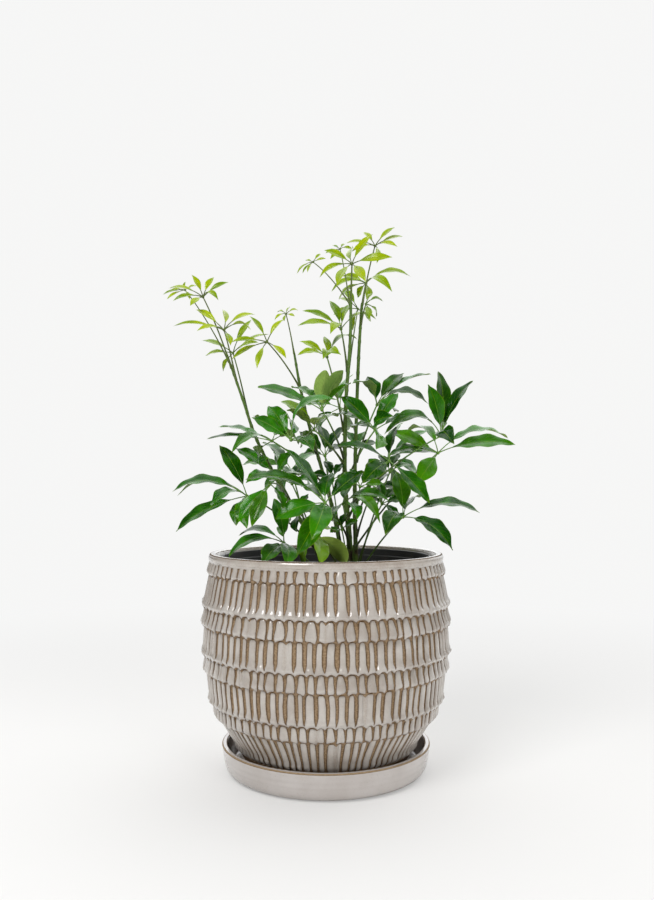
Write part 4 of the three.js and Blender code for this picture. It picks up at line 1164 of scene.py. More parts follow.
class CarvedBand:
    """One band of the pot's petals, as rows of points from its lower line up.

    down and up say how far each row lies from the upper and the lower line, and share is down over the
    band's height, as a column. bow, width, opened, depth, ragged and lobe hold what the hand makes
    different from column to column: how far a groove bows to its side, what scales its width, how open it
    is, its depth, how far the petal's ends lie off their line and how far its lower end swells. Grids are
    shaped (rows, columns, points), where a column's points run from the middle of a groove over a domed
    petal to the next groove.
    """

    def __init__(self, pot: CarvedPot, number: int, rng: np.random.Generator) -> None:
        """Places the rows, close together where petals round off and grooves end, and draws the rest.

        Args:
            pot: The pot, with its sizes.
            number: The band, from the highest.
            rng: Where the random numbers come from, in the order of the names above.
        """
        self.pot = pot
        self.number = number
        self.top, bottom = pot.bands[number]
        self.height = self.top - bottom
        self.tall = self.height > pot.tall_band
        self.stop = pot.groove_stops[number]
        self.ends = self.stop < NO_STOP
        middle = self.height * np.array(pot.tall_rows if self.tall else pot.low_rows)
        first = self.height - np.array([0.0, 0.35, 0.8, 1.5, 2.6, 3.6])
        self.down = np.concatenate([first, middle, [3.2, 1.8, 0.9, 0.35, 0.0]])
        self.up = self.height - self.down
        self.share = self.down[:, None] / self.height
        self.bow = rng.normal(0, pot.bow_spread, pot.columns) * 2 * np.pi / pot.columns
        self.width = 1 + rng.normal(0, pot.width_spread, pot.columns)
        opened = np.where(rng.random(pot.columns) < pot.closed_share, pot.closed_depth, 1.0)
        self.opened = np.ones((pot.columns, len(pot.across)))
        self.opened[:, :2] = opened[:, None]
        self.opened[:, -1] = np.roll(opened, -1)
        self.depth = (pot.groove_depth * (1 + rng.normal(0, pot.depth_spread, pot.columns)))[:, None]
        self.ragged = rng.normal(0, pot.ragged_spread, pot.columns)
        self.lobe = np.abs(rng.normal(0, pot.lobe_spread, pot.columns))[:, None]

    def groove_lines(self) -> np.ndarray:
        """Angles of the groove middles at each row.

        At the upper line they are those of the band above, and a third of a millimetre down the band's own.
        Between the two lines each groove bows to one side by half a sine wave.

        Returns:
            Angles shaped (rows, columns + 1).
        """
        own = self.pot.groove_angles(self.number)
        above = self.pot.groove_angles(self.number - 1)
        lines = own + (above - own) * np.clip(1 - self.down[:, None] / 0.35, 0, 1)
        return lines + np.append(self.bow, self.bow[0]) * np.sin(np.pi * self.share)

    def petal_width(self) -> np.ndarray:
        """The share of its column that a petal takes.

        Its groove is widest at the upper line. Where grooves end they close in a short soft step, and where
        they run on they narrow evenly and only in part. Both of a petal's ends are drawn in roundly.

        Returns:
            Shares shaped (rows, columns).
        """
        if self.ends:
            spread = ease(np.clip((self.share - self.stop + 0.25) / 0.34, 0, 1))
        else:
            spread = ease(np.clip(self.share / 0.8, 0, 1)) * (0.3 if self.tall else 0.65)
        groove = self.pot.groove_top * self.width * (1 - spread) + self.pot.groove_end
        starts = [0.0, 0.4, 1.1, 2.3, 4.0]
        petal = (1 - groove) * np.interp(self.down, starts, [0.55, 0.7, 0.85, 0.96, 1])[:, None]
        return petal * np.interp(self.up, starts, [0.5, 0.68, 0.86, 0.97, 1])[:, None]

    def swell(self) -> np.ndarray:
        """How far each row stands out of the outline over the petals.

        It rises from the upper line by a power of the height to the crest, falls by a square to the lower
        line, and goes in by the flare in a soft step above the lower part.

        Returns:
            Millimetres, less than 0 inside the outline.
        """
        pull = self.pot.lip_step if self.number == 0 else 1.0
        crest = self.height - min(self.pot.crest, 0.42 * self.height)
        rise = np.clip(self.down / crest, 0, 1)
        fall = np.clip((self.down - crest) / (self.height - crest), 0, 1)
        start, length = (0.68, 0.18) if self.tall else (0.42, 0.34)
        out = ease(np.clip((self.share[:, 0] - start) / length, 0, 1))
        flare = self.pot.flare / self.pot.step * (1 - out) * pull
        return self.pot.step * (-pull * (1 - rise) ** 1.3 - fall**2 - flare)

    def opening(self) -> np.ndarray:
        """How far the grooves are open at each row. Those of the highest band open out under the rim.

        Returns:
            Shares shaped (rows, 1, 1).
        """
        if self.number > 0:
            return np.ones((len(self.down), 1, 1))
        return np.clip(self.down / self.pot.rim_cover, 0, 1)[:, None, None]

    def cut(self) -> np.ndarray:
        """How deep each point lies under the skin over the petals.

        It is the dome of the petal's section turned over, as deep as the groove, which deepens a little to
        where it ends and rises there in a glazed scoop. The petal's ends round off from its crown.

        Returns:
            Millimetres, as a grid.
        """
        dome = np.array(self.pot.dome)
        full = np.interp(self.down, [0.0, 0.4, 1.1, 2.3, 4.0], [0.0, 0.5, 0.82, 0.97, 1])
        full = full * np.interp(self.up, [0.0, 0.35, 0.8, 1.5, 2.6], [0.0, 0.5, 0.82, 0.96, 1])
        ending = [0.8, 1.0, 1.1, 0.9, 0.35, 0.3] if self.ends else [0.8, 1.0, 1.1, 1.0, 0.9, 0.8]
        last = min(self.stop, 0.9)
        scoop = np.interp(self.share, [0, 0.06, last - 0.07, 0.03 + last, 0.95, 1], ending)[..., None]
        rounding = 0.8 * dome * (1 - full[:, None, None])
        return self.depth * (scoop * (1 - dome) * self.opened + rounding) * self.opening()

    def heights(self, angle: np.ndarray, place: np.ndarray) -> np.ndarray:
        """The height of each point.

        The rows follow the petal crowns at the upper line and those of the band below at the lower line,
        lie a little off them from petal to petal, and turn up beside a petal's lower end to make it round.

        Args:
            angle: The grid's angles.
            place: Its places in their columns, from 0 to 1.

        Returns:
            Heights in millimetres, as a grid.
        """
        loose = np.interp(self.down, [0.0, 2.0, 4.0], [1, 0.6, 0])
        loose = loose + np.interp(self.up, [0.0, 0.5, 3.0], [0.0, 0.8, 0])
        round_end = (0.5 if self.tall else 1.2) * np.abs(2 * place - 1) ** self.pot.arch_power
        z = self.top - self.down[:, None, None] + (self.ragged * loose[:, None])[..., None]
        z = z + self.pot.crown(self.number, angle) * np.clip(1 - self.down / 5.5, 0, 1)[:, None, None]
        z = z + self.pot.crown(self.number + 1, angle) * np.clip(1 - self.up / 4.5, 0, 1)[:, None, None]
        return z + round_end * np.interp(self.up, [0.0, 0.35, 1.0, 4.0], [0, 1, 1, 0])[:, None, None]

    def bare_clay(self) -> np.ndarray:
        """How bare the clay is: in open grooves down to where they end, and along both lines.

        Returns:
            Values from 0 to 1, as a grid.
        """
        covered = np.clip((self.share - self.stop) / 0.08, 0, 1)[..., None]
        upper = np.interp(self.down, [0.0, 0.35, 0.9, 1.8], [1, 0.7, 0.2, 0])
        lower = np.interp(self.up, [0.0, 0.35, 0.8, 1.5], [1, 0.55, 0.12, 0])
        edge = (upper * (0.0 if self.number == 0 else 1.0) + lower)[:, None, None]
        grooves = np.array(self.pot.bare) * self.opened * (1 - covered) * self.opening()
        return np.clip(grooves + edge, 0, 1)

    def points(self) -> tuple[np.ndarray, np.ndarray]:
        """The outside of the band.

        The radius is the outline's at each height, plus the swell of the band and of the petal's lower end,
        which is a bell curve of the height, less the cut.

        Returns:
            Points shaped (rows, points round, 3), and how bare the clay is at each.
        """
        pot = self.pot
        lines = self.groove_lines()
        place = 0.5 + 0.5 * np.clip(self.petal_width()[..., None] * np.array(pot.across), -0.98, 0.98)
        place[..., 0] = 0.0
        angle = lines[:, :-1, None] + np.diff(lines, axis=1)[..., None] * place
        z = self.heights(angle, place)
        bulge = np.exp(-(((self.share - pot.lobe_place) / pot.lobe_height) ** 2))[..., None]
        lobe = self.lobe * np.array(pot.dome) * bulge
        r = pot.radius(z) + self.swell()[:, None, None] + lobe - self.cut()
        grid = np.stack([r * np.cos(angle), r * np.sin(angle), z], axis=-1)
        rows = len(self.down)
        return grid.reshape(rows, -1, 3), self.bare_clay().reshape(rows, -1)


@dataclass
class CarvedPot:
    """Round pot with eight bands of carved petals, each band swelling over the one below it.

    bands gives each band's upper and lower line, and groove_stops where its grooves end, as a share of its
    height. outline is the (height, radius) profile over the petals. A band's skin stands at the outline
    where it swells most, crest above its lower line, goes in by step at both its lines, and by flare above
    its lower part, so that it hangs over the band below. The highest band takes only the share lip_step of
    both at its top. across, dome and bare say where the points of a column lie from the middle of its
    petal, as a share of half the petal, how high each stands and how bare its clay is: the first point is
    the middle of the groove. The spreads say how far the columns differ, as cut by hand.
    """

    foot_z: float = 15.0
    rim_z: float = 224.0
    floor_z: float = 23.0
    foot_radius: float = 78.0
    drain_radius: float = 11.0
    columns: int = 84
    groove_depth: float = 1.7
    groove_top: float = 0.32
    groove_end: float = 0.08
    groove_stops: tuple[float, ...] = (NO_STOP, 0.79, NO_STOP, 0.86, NO_STOP, 0.88, NO_STOP, NO_STOP)
    step: float = 1.8
    crest: float = 5.0
    flare: float = 1.3
    lip_step: float = 0.3
    rim_cover: float = 3.0
    arch: float = 3.0
    arch_power: float = 2.4
    lobe_place: float = 0.87
    lobe_height: float = 0.08
    bow_spread: float = 0.1
    width_spread: float = 0.18
    depth_spread: float = 0.12
    ragged_spread: float = 0.4
    lobe_spread: float = 0.6
    closed_share: float = 0.035
    closed_depth: float = 0.25
    tall_band: float = 20.0
    tall_rows: tuple[float, ...] = (0.865, 0.83, 0.79, 0.745, 0.66, 0.36)
    low_rows: tuple[float, ...] = (0.66, 0.38)
    across: tuple[float, ...] = (0.0, -1.08, -0.9, -0.55, 0.0, 0.55, 0.9, 1.08)
    dome: tuple[float, ...] = (0.0, 0.05, 0.58, 0.9, 1.0, 0.9, 0.58, 0.05)
    bare: tuple[float, ...] = (1.0, 0.62, 0.12, 0.0, 0.0, 0.0, 0.12, 0.62)
    seed: int = 7
    bands: tuple[tuple[float, float], ...] = (
        (217, 204), (204, 173), (173, 155), (155, 127), (127, 110), (110, 80), (80, 64.6), (64.6, 33),
    )
    outline: tuple[tuple[float, float], ...] = (
        (15, 78), (38, 91), (64.6, 109), (80, 115.6), (110, 121.4), (127, 123), (155, 123.6), (173, 123),
        (204, 119), (217, 116.4), (224, 115.4),
    )

    def radius(self, z: np.ndarray) -> np.ndarray:
        """The radius over the petals at each height."""
        table = smooth_path(np.array(self.outline, dtype=float), 12)
        return np.interp(z, table[:, 0], table[:, 1])

    def groove_angles(self, number: int) -> np.ndarray:
        """Angles of a band's groove middles, and the first again after a full turn.

        They are an even spacing plus two waves that make it as uneven as cut by hand.

        Args:
            number: The band, from the highest.

        Returns:
            One angle more than there are columns.
        """
        column = np.arange(self.columns)
        uneven = 0.11 * np.sin(2.4 * column + 1.7 * number) + 0.09 * np.sin(5.3 * column + 2.9 * number)
        angles = (column + uneven) * 2 * np.pi / self.columns
        return np.append(angles, angles[0] + 2 * np.pi)

    def crown(self, number: int, angle: np.ndarray) -> np.ndarray:
        """How far a band's petal tops stand over its upper line.

        Over each petal it is a round arch, lowest over the grooves. The highest band's top and the line
        under the lowest band are level.

        Args:
            number: The band, from the highest, or the number after the lowest one's.
            angle: Angles round the pot.

        Returns:
            Heights in millimetres, one for each angle.
        """
        if number in (0, len(self.bands)):
            return np.zeros_like(angle)
        edges = self.groove_angles(number)
        turned_back = (angle - edges[0]) % (2 * np.pi) + edges[0]
        place = np.interp(turned_back, edges, np.arange(len(edges))) % 1
        return self.arch * (0.45 - np.abs(2 * place - 1) ** self.arch_power)

    def ring_rows(
        self,
        rows: list[tuple[float, float, float]],
        rounds: int,
    ) -> tuple[np.ndarray, np.ndarray]:
        """Plain rings with the same number of points round as a band.

        Args:
            rows: Each ring's (radius, height, clay).
            rounds: Points round.

        Returns:
            Points shaped (rows, rounds, 3), and how bare the clay is at each.
        """
        table = np.array(rows, dtype=float)
        return turned(table[:, :2], rounds), np.repeat(table[:, 2:3], rounds, axis=1)

    def build(self, finish: bpy.types.Material) -> None:
        """Makes one closed skin: foot, bands from the lowest up, round lip, inside, floor and drain hole.

        Args:
            finish: The glaze.
        """
        rng = np.random.default_rng(self.seed)
        rounds = self.columns * len(self.across)
        lip = float(self.radius(np.array(self.rim_z - 4)))
        lowest = float(self.radius(np.array(self.bands[-1][1])))
        top = self.bands[0][0]
        parts = [self.ring_rows([
            (self.drain_radius, self.foot_z, 1),
            (self.foot_radius - 8, self.foot_z, 1),
            (self.foot_radius - 1.5, self.foot_z, 1),
            (self.foot_radius, self.foot_z + 1.5, 0.6),
            (lowest - self.step - 0.4, self.bands[-1][1] - 1.2, 0.6),
        ], rounds)]
        parts += [CarvedBand(self, number, rng).points() for number in reversed(range(len(self.bands)))]
        parts.append(self.ring_rows([
            (lip - 0.2, top + 0.6, 0.22),
            (lip + 0.3, top + 1.5, 0.2),
            (lip + 0.3, self.rim_z - 3.0, 0.2),
            (lip - 0.3, self.rim_z - 1.3, 0.22),
            (lip - 1.0, self.rim_z - 0.6, 0.5),
            (lip - 1.5, self.rim_z - 0.25, 0.55),
            (lip - 2.2, self.rim_z, 0.3),
            (lip - 3.4, self.rim_z + 0.1, 0.22),
            (110.2, self.rim_z - 0.1, 0.22),
            (108.6, self.rim_z - 0.9, 0.42),
            (107.4, self.rim_z - 2.4, 0.3),
            (107.0, self.rim_z - 9, 0.25),
            (108.2, 196, 0.2),
            (107.8, 112, 0.2),
            (97.0, 66, 0.2),
            (72.0, self.floor_z + 3, 0.3),
            (67.5, self.floor_z, 0.4),
            (self.drain_radius, self.floor_z, 0.6),
            (self.drain_radius, self.foot_z, 1),
        ], rounds))
        grid = np.concatenate([part[0] for part in parts])
        clay = np.concatenate([part[1] for part in parts])
        skin = Skin()
        skin.add_grid(grid, wrap=True, clay=clay)
        place_piece(skin.build("carved_pot", [finish], 75.0), "pot_glaze", "pot")


@dataclass
class GrowerPot:
    """Plastic pot inside the carved one, with a collar and a moulded ledge inside its top.

    ledge gives how far the ledge's upper and lower edges lie under the top, and how far it stands in.
    """

    floor_z: float = 23.0
    collar_z: float = 201.0
    top_z: float = 221.0
    foot_radius: float = 66.0
    neck_radius: float = 97.0
    collar_radius: float = 104.0
    wall: float = 2.0
    drain_radius: float = 8.0
    ledge: tuple[float, float, float] = (7.0, 7.8, 1.1)
    sides: int = 192

    def build(self, finish: bpy.types.Material) -> None:
        """Carries the outline of a thin wall with a collar round the axis.

        Args:
            finish: The plastic.
        """
        collar_inside = self.collar_radius - self.wall
        upper, lower, inset = self.ledge
        outline = rounded([
            (self.drain_radius, self.floor_z, 0),
            (self.foot_radius, self.floor_z, 1.5),
            (self.neck_radius, self.collar_z, 1.2),
            (self.collar_radius, self.collar_z + self.wall, 1.2),
            (self.collar_radius, self.top_z, 0.8),
            (collar_inside, self.top_z, 0.8),
            (collar_inside, self.top_z - upper, 0.4),
            (collar_inside - inset, self.top_z - lower, 0.4),
            (collar_inside - inset, self.collar_z + 2.4 * self.wall, 1.2),
            (self.neck_radius - self.wall, self.collar_z + self.wall, 1.2),
            (self.foot_radius - self.wall, self.floor_z + self.wall, 1.5),
            (self.drain_radius, self.floor_z + self.wall, 0),
            (self.drain_radius, self.floor_z, 0),
        ], 4)
        skin = Skin()
        skin.add_grid(turned(outline, self.sides), wrap=True)
        place_piece(skin.build("grower_pot_shell", [finish]), "grower_plastic", "grower_pot")


@dataclass
class PottingMix:
    """Mounded potting mix with bark bits and white grains lying on it.

    crumbs gives the (length, turn) of the waves that make its crumbs, in millimetres and radians, and
    crumb_height their height as a share of their length.
    """

    floor_z: float = 25.0
    edge_z: float = 180.0
    mound: float = 6.0
    foot_radius: float = 63.1
    edge_radius: float = 90.1
    rings: int = 56
    sides: int = 180
    crumbs: tuple[tuple[float, float], ...] = ((23.0, 0.4), (11.0, 1.3), (5.2, 2.2), (2.7, 0.9))
    crumb_height: float = 0.055
    bits: int = 420
    white_share: float = 0.16
    seed: int = 11

    def surface(self, radius: np.ndarray, angle: np.ndarray) -> np.ndarray:
        """Height of the soil: a low mound with crumbs made of crossed waves of falling size.

        Args:
            radius: Distances from the axis.
            angle: Angles round it, shaped as the distances.

        Returns:
            Heights, shaped as the distances.
        """
        x = radius * np.cos(angle)
        y = radius * np.sin(angle)
        crumbs = np.zeros_like(x)
        for k, (size, turn) in enumerate(self.crumbs):
            wave = 2 * np.pi / size
            along = x * math.cos(turn) + y * math.sin(turn)
            beside = y * math.cos(turn + 0.4) - x * math.sin(turn + 0.4)
            height = self.crumb_height * size
            crumbs += height * np.sin(wave * along + k) * np.sin(wave * 0.83 * beside + 2 * k)
        share = np.clip(radius / self.edge_radius, 0, 1)
        return self.edge_z + self.mound * (1 - share**2) + crumbs * np.clip(4 * (1 - share), 0, 1)

    def build(self, finish: bpy.types.Material, bit_finish: bpy.types.Material) -> None:
        """Makes the closed body of soil, and one piece that holds all the loose bits.

        Args:
            finish: The mix.
            bit_finish: The loose bits.
        """
        angle = full_turn(self.sides)[None, :]
        radius = np.linspace(0, self.edge_radius, self.rings)[:, None]
        height = self.surface(radius + 0 * angle, angle + 0 * radius)
        top = np.stack([radius * np.cos(angle), radius * np.sin(angle), height], axis=-1)
        under = turned(np.array([(self.foot_radius, self.floor_z), (0.0, self.floor_z)]), self.sides)
        skin = Skin()
        skin.add_grid(np.concatenate([top, under]), wrap=True, flip=True, tone=0.0)
        place_piece(skin.build("potting_mix", [finish]), "potting_mix", "soil")
        self.build_bits(bit_finish)

    def build_bits(self, finish: bpy.types.Material) -> None:
        """Makes bits of bark and white grains: flattened rough balls of a few faces, sunk into the soil.

        Each is tilted and then turned about the upright by the matrix of both.

        Args:
            finish: The loose bits.
        """
        rng = np.random.default_rng(self.seed)
        skin = Skin()
        ball = unit_ball(5, 6)
        for _ in range(self.bits):
            white = rng.uniform() < self.white_share
            size = rng.uniform(1.0, 1.9) if white else rng.uniform(1.4, 4.2)
            flat = np.array([1.0, 0.9, 0.85]) if white else np.array([1.0, rng.uniform(0.4, 0.7), 0.3])
            rough = 1 + rng.uniform(-0.22, 0.22, (*ball.shape[:2], 1))
            rough[0] = rough[0, 0]
            rough[-1] = rough[-1, 0]
            turn = rng.uniform(0, 2 * np.pi)
            tilt = rng.normal(0, 0.35)
            spin = np.array([
                [math.cos(turn) * math.cos(tilt), -math.sin(turn), math.cos(turn) * math.sin(tilt)],
                [math.sin(turn) * math.cos(tilt), math.cos(turn), math.sin(turn) * math.sin(tilt)],
                [-math.sin(tilt), 0, math.cos(tilt)],
            ])
            radius = 0.94 * self.edge_radius * math.sqrt(rng.uniform())
            around = rng.uniform(0, 2 * np.pi)
            z = float(self.surface(np.array(radius), np.array(around))) + 0.25 * size * flat[2]
            middle = np.array([radius * math.cos(around), radius * math.sin(around), z])
            grid = (ball * rough * size * flat) @ spin.T + middle
            tone = 0.95 if white else rng.uniform(0.0, 0.14)
            skin.add_grid(grid, wrap=True, flip=True, tone=tone)
        place_piece(skin.build("soil_bits", [finish], 20.0), "potting_mix")


@dataclass
class Canes:
    """The four woody canes.

    scar_gap is the least and the most between two scars of dropped leaves, and scar how far one stands out
    and how long it is, in millimetres.
    """

    per_span: int = 14
    sides: int = 16
    step: float = 1.6
    scar_gap: tuple[float, float] = (9.0, 19.0)
    scar: tuple[float, float] = (0.32, 1.3)
    paths: dict[str, np.ndarray] = field(init=False)

    def __post_init__(self) -> None:
        """Works out each cane's middle line and radius."""
        self.paths = {}
        for name, rows in STEMS.items():
            table = np.array([[*seen_point(x, z, depth), radius] for x, z, depth, radius in rows])
            self.paths[name] = smooth_path(table, self.per_span)

    def at_height(self, name: str, z: float) -> tuple[np.ndarray, np.ndarray, float]:
        """Where a cane passes a height.

        Args:
            name: The cane.
            z: The height.

        Returns:
            The middle point there, the direction of growth and the cane's radius.
        """
        path = self.paths[name]
        place, ahead, behind = look_up(path, path[:, 2], np.array([z, z + 2.0, z - 2.0]))
        return place[:3], unit((ahead - behind)[:3]), float(place[3])

    def build(self, finish: bpy.types.Material) -> None:
        """Makes a tube along each cane, with raised scars where leaves have dropped and a rounded top.

        A scar is a bell curve of the length along the cane.

        Args:
            finish: The bark.
        """
        for name, path in self.paths.items():
            rng = np.random.default_rng(len(name) * 31)
            length = lengths(path[:, :3])
            fine = np.arange(0, length[-1], self.step)
            rows = look_up(path, length, fine)
            radii = rows[:, 3]
            scars = np.cumsum(rng.uniform(*self.scar_gap, 40))
            for scar in scars[scars < length[-1] - 4]:
                radii = radii + self.scar[0] * np.exp(-(((fine - scar) / self.scar[1]) ** 2))
            radii = radii * np.sqrt(np.clip((length[-1] + 0.5 - fine) / 3, 0.05, 1))
            tone = np.repeat(fine[:, None] / length[-1], self.sides, axis=1)
            tone = np.concatenate([tone[:1], tone, tone[-1:]])
            skin = Skin()
            skin.add_grid(closed_tube(rows[:, :3], radii, self.sides), wrap=True, tone=tone)
            place_piece(skin.build("cane_" + name + "_bark", [finish]), "cane_bark", "cane_" + name)


@dataclass(frozen=True)
class MiddleLine:
    """A leaflet's middle line: straight from hub to tip, plus an arch over the blade's upper side.

    normal is the way the blade's upper side faces, side the way to its edge, and rise four times the height
    of the arch. Both methods take shares of the way from hub to tip.
    """

    hub: np.ndarray
    along: np.ndarray
    normal: np.ndarray
    side: np.ndarray
    length: float
    rise: float

    def at(self, t: np.ndarray) -> np.ndarray:
        """Points of the line."""
        return self.hub + self.along * t + self.normal * (self.rise * t * (1 - t))

    def above(self, t: np.ndarray) -> np.ndarray:
        """The direction square to the line and to the blade's side, over its upper side."""
        tangent = self.along + self.normal * (self.rise * (1 - 2 * t))
        return unit(np.cross(self.side, tangent))


@dataclass(frozen=True)
class BladeShape:
    """What differs from blade to blade.

    wave is the height of the waves along the edges, in millimetres, and phase where they start. slim is the
    power that makes the blade's oval slimmer, and tip_pull how far its tip is drawn in. fold is the rise of
    the blade from rib to edge, and lean how far it bends sideways, as shares. age and tone go from 0 to 1.
    """

    width: float
    wave: float
    phase: float
    slim: float
    tip_pull: float
    fold: float
    lean: float
    age: float
    tone: float


@dataclass
class Foliage:
    """All the palmate leaves, each one piece of stalk, hub, leaflet stalks and blades.

    Leaves narrower than small_leaf have longer leaflet stalks for their size, and those narrower than
    narrow_leaf thinner ones.
    """

    canes: Canes
    top: bpy.types.Material
    under: bpy.types.Material
    stalk: bpy.types.Material
    rows: int = 25
    columns: int = 11
    stalk_share: float = 0.18
    small_stalk_share: float = 0.24
    small_leaf: float = 12.0
    narrow_leaf: float = 8.0
    thickness: float = 0.5
    fold: float = 0.2
    young_slim: float = 0.3
    young_calm: float = 0.8
    blunt: float = 0.6
    blunt_leaves: tuple[str, ...] = ("mid_pair", "mid_olive", "low_pale")
    droop: float = 0.05
    waves: float = 3.2
    petiole_base: float = 1.15
    petiole_tip: float = 0.72
    petiole_lift: float = 0.05
    petiole_rows: int = 26
    petiole_sides: int = 10
    knob_radius: float = 1.7
    rib_reach: float = 0.93
    rib_sides: int = 6
    seed: int = 3
    rng: np.random.Generator = field(init=False)

    def __post_init__(self) -> None:
        """Seeds the small differences between blades."""
        self.rng = np.random.default_rng(self.seed)

    def petiole_path(self, leaf: LeafSpec, hub: np.ndarray) -> np.ndarray:
        """The leaf stalk's middle line: a quadratic curve from the cane's side, a little lifted.

        Args:
            leaf: The leaf.
            hub: Its hub.

        Returns:
            Points of the curve.
        """
        centre, growth, radius = self.canes.at_height(leaf.stem, leaf.start)
        reach = hub - centre
        out = unit(reach - reach.dot(growth) * growth)
        control = (centre + hub) / 2 + UP * 2 * self.petiole_lift * np.linalg.norm(reach)
        return bend(centre + out * (radius - 0.5), control, hub, self.petiole_rows)

    def blade_normal(self, hub: np.ndarray, along: np.ndarray, width: float, shown: float) -> np.ndarray:
        """The direction that a blade's upper side faces.

        The blade turns about its rib until it shows the stated width to the front, and of the two ways to
        do so takes the one whose upper side faces more upwards.

        Args:
            hub: The leaf's hub.
            along: The way from the hub to the leaflet's tip.
            width: The blade's full width.
            shown: The width that it shows, less than 0 for its underside.

        Returns:
            The direction, square to the rib.
        """
        rib = unit(along)
        to_eye = EYE - hub
        facing = unit(to_eye - to_eye.dot(rib) * rib)
        edge = np.cross(rib, facing)
        part = float(np.clip(shown / width, -1, 1))
        rest = math.sqrt(1 - part * part) * (-1 if edge[2] < 0 else 1)
        return facing * part + edge * rest

    def half_width(self, share: np.ndarray, slim: float, tip: float) -> np.ndarray:
        """Half the blade's width, as a share of its greatest: a power of a sine, drawn in at the tip.

        Args:
            share: Shares of the way from the blade's foot to its tip.
            slim: The power.
            tip: How far the tip is drawn in.

        Returns:
            Shares of half the greatest width.
        """
        drawn = np.clip((share - 0.5) / 0.5, 0, 1)
        oval = np.sin(np.pi * np.clip(share, 0, 1) ** 1.06) ** slim
        return oval * (1 - tip * drawn**2)

    def draw_shape(self, leaf: LeafSpec, age: float, tone: float) -> BladeShape:
        """Draws one blade's own shape. Young blades are slimmer and wave less.

        Args:
            leaf: The blade's leaf.
            age: The blade's age, 0 grown to 1 young.
            tone: Its lightness.

        Returns:
            The shape.
        """
        width = leaf.width * (1 - self.young_slim * age)
        wave = self.rng.uniform(0.3, 1.0) * (1 - self.young_calm * age) * width / 18
        phase = self.rng.uniform(0, 2 * np.pi)
        slim = self.rng.uniform(0.78, 0.95) + 0.25 * age
        tip_pull = self.rng.uniform(0.2, 0.45)
        if leaf.name in self.blunt_leaves:
            slim = self.blunt
            tip_pull = 0.0
        fold = self.fold * self.rng.uniform(0.7, 1.8)
        return BladeShape(width, wave, phase, slim, tip_pull, fold, self.rng.normal(0, 0.03), age, tone)

    def add_blade(self, skin: Skin, line: MiddleLine, shape: BladeShape, stalk_share: float) -> None:
        """Adds a blade as a thin closed shell of an upper side and an underside.

        It is a grid of shares along the blade and places v across it, from -1 to 1. It is folded up along
        its rib, sinks into a groove over it, waves along its edges by a sine of the share, and droops by
        the share's fourth power.

        Args:
            skin: The leaf's skin.
            line: The leaflet's middle line.
            shape: The blade's own shape.
            stalk_share: The share of the line that is bare stalk.
        """
        even = np.linspace(0, 1, self.rows)
        share = 0.35 * even + 0.65 * (0.5 - 0.5 * np.cos(np.pi * even))
        t = (stalk_share + (1 - stalk_share) * share)[:, None]
        v = np.sin(np.linspace(-1, 1, self.columns) * np.pi / 2)[None, :]
        half = shape.width / 2 * self.half_width(share, shape.slim, shape.tip_pull)[:, None]
        half[0] = 0.25
        half[-1] = 0.0
        offset = v * half
        ridge = shape.fold * np.abs(offset) * (1 - 0.35 * np.abs(v))
        groove = -0.3 * np.exp(-((v / 0.16) ** 2)) * (half > 1.5)
        turn = self.waves * 2 * np.pi * share[:, None] + shape.phase + 1.7 * np.sign(v)
        ripple = shape.wave * v**2 * np.sin(turn)
        droop = -self.droop * line.length * share[:, None] ** 4
        lift = ridge + groove + ripple * (half > 1.0) + droop
        sideways = offset + shape.lean * line.length * (share * (1 - share))[:, None]
        up = line.above(t)[:, None, :]
        upper = line.at(t)[:, None, :] + line.side * sideways[..., None] + up * lift[..., None]
        thick = self.thickness * np.sqrt(np.clip(1 - v**2, 0, 1)) * np.clip(half / 1.5, 0, 1)
        uv = np.stack(np.broadcast_arrays(share[:, None], 0.5 + 0.5 * v), axis=-1)
        values = {"age": shape.age, "tone": shape.tone}
        skin.add_grid(upper, 0, flip=True, uv=uv, **values)
        skin.add_grid(upper - up * thick[..., None], 1, uv=uv, **values)

    def add_rib(
        self,
        skin: Skin,
        line: MiddleLine,
        shape: BladeShape,
        stalk_share: float,
        scale: float,
    ) -> None:
        """Adds a leaflet's stalk and rib as one tapered tube, which sinks into the blade's underside.

        Args:
            skin: The leaf's skin.
            line: The leaflet's middle line.
            shape: The blade's own shape.
            stalk_share: The share of the line that is bare stalk.
            scale: Scale of the tube's radius.
        """
        s = np.linspace(0.0, self.rib_reach, 16)[:, None]
        radius = np.interp(s[:, 0], [0, stalk_share, 0.5, self.rib_reach], [0.62, 0.46, 0.32, 0.1])
        share = np.clip((s - stalk_share) / (1 - stalk_share), 0, 1)
        under = np.clip(share * 8, 0, 1) * (0.3 + 0.45 * self.thickness)
        sink = under + self.droop * line.length * share**4
        lean = line.side * shape.lean * line.length * share * (1 - share)
        centres = line.at(s) - line.above(s) * sink + lean
        grid = closed_tube(centres, radius * scale, self.rib_sides)
        skin.add_grid(grid, 2, wrap=True, age=shape.age, tone=0.9)

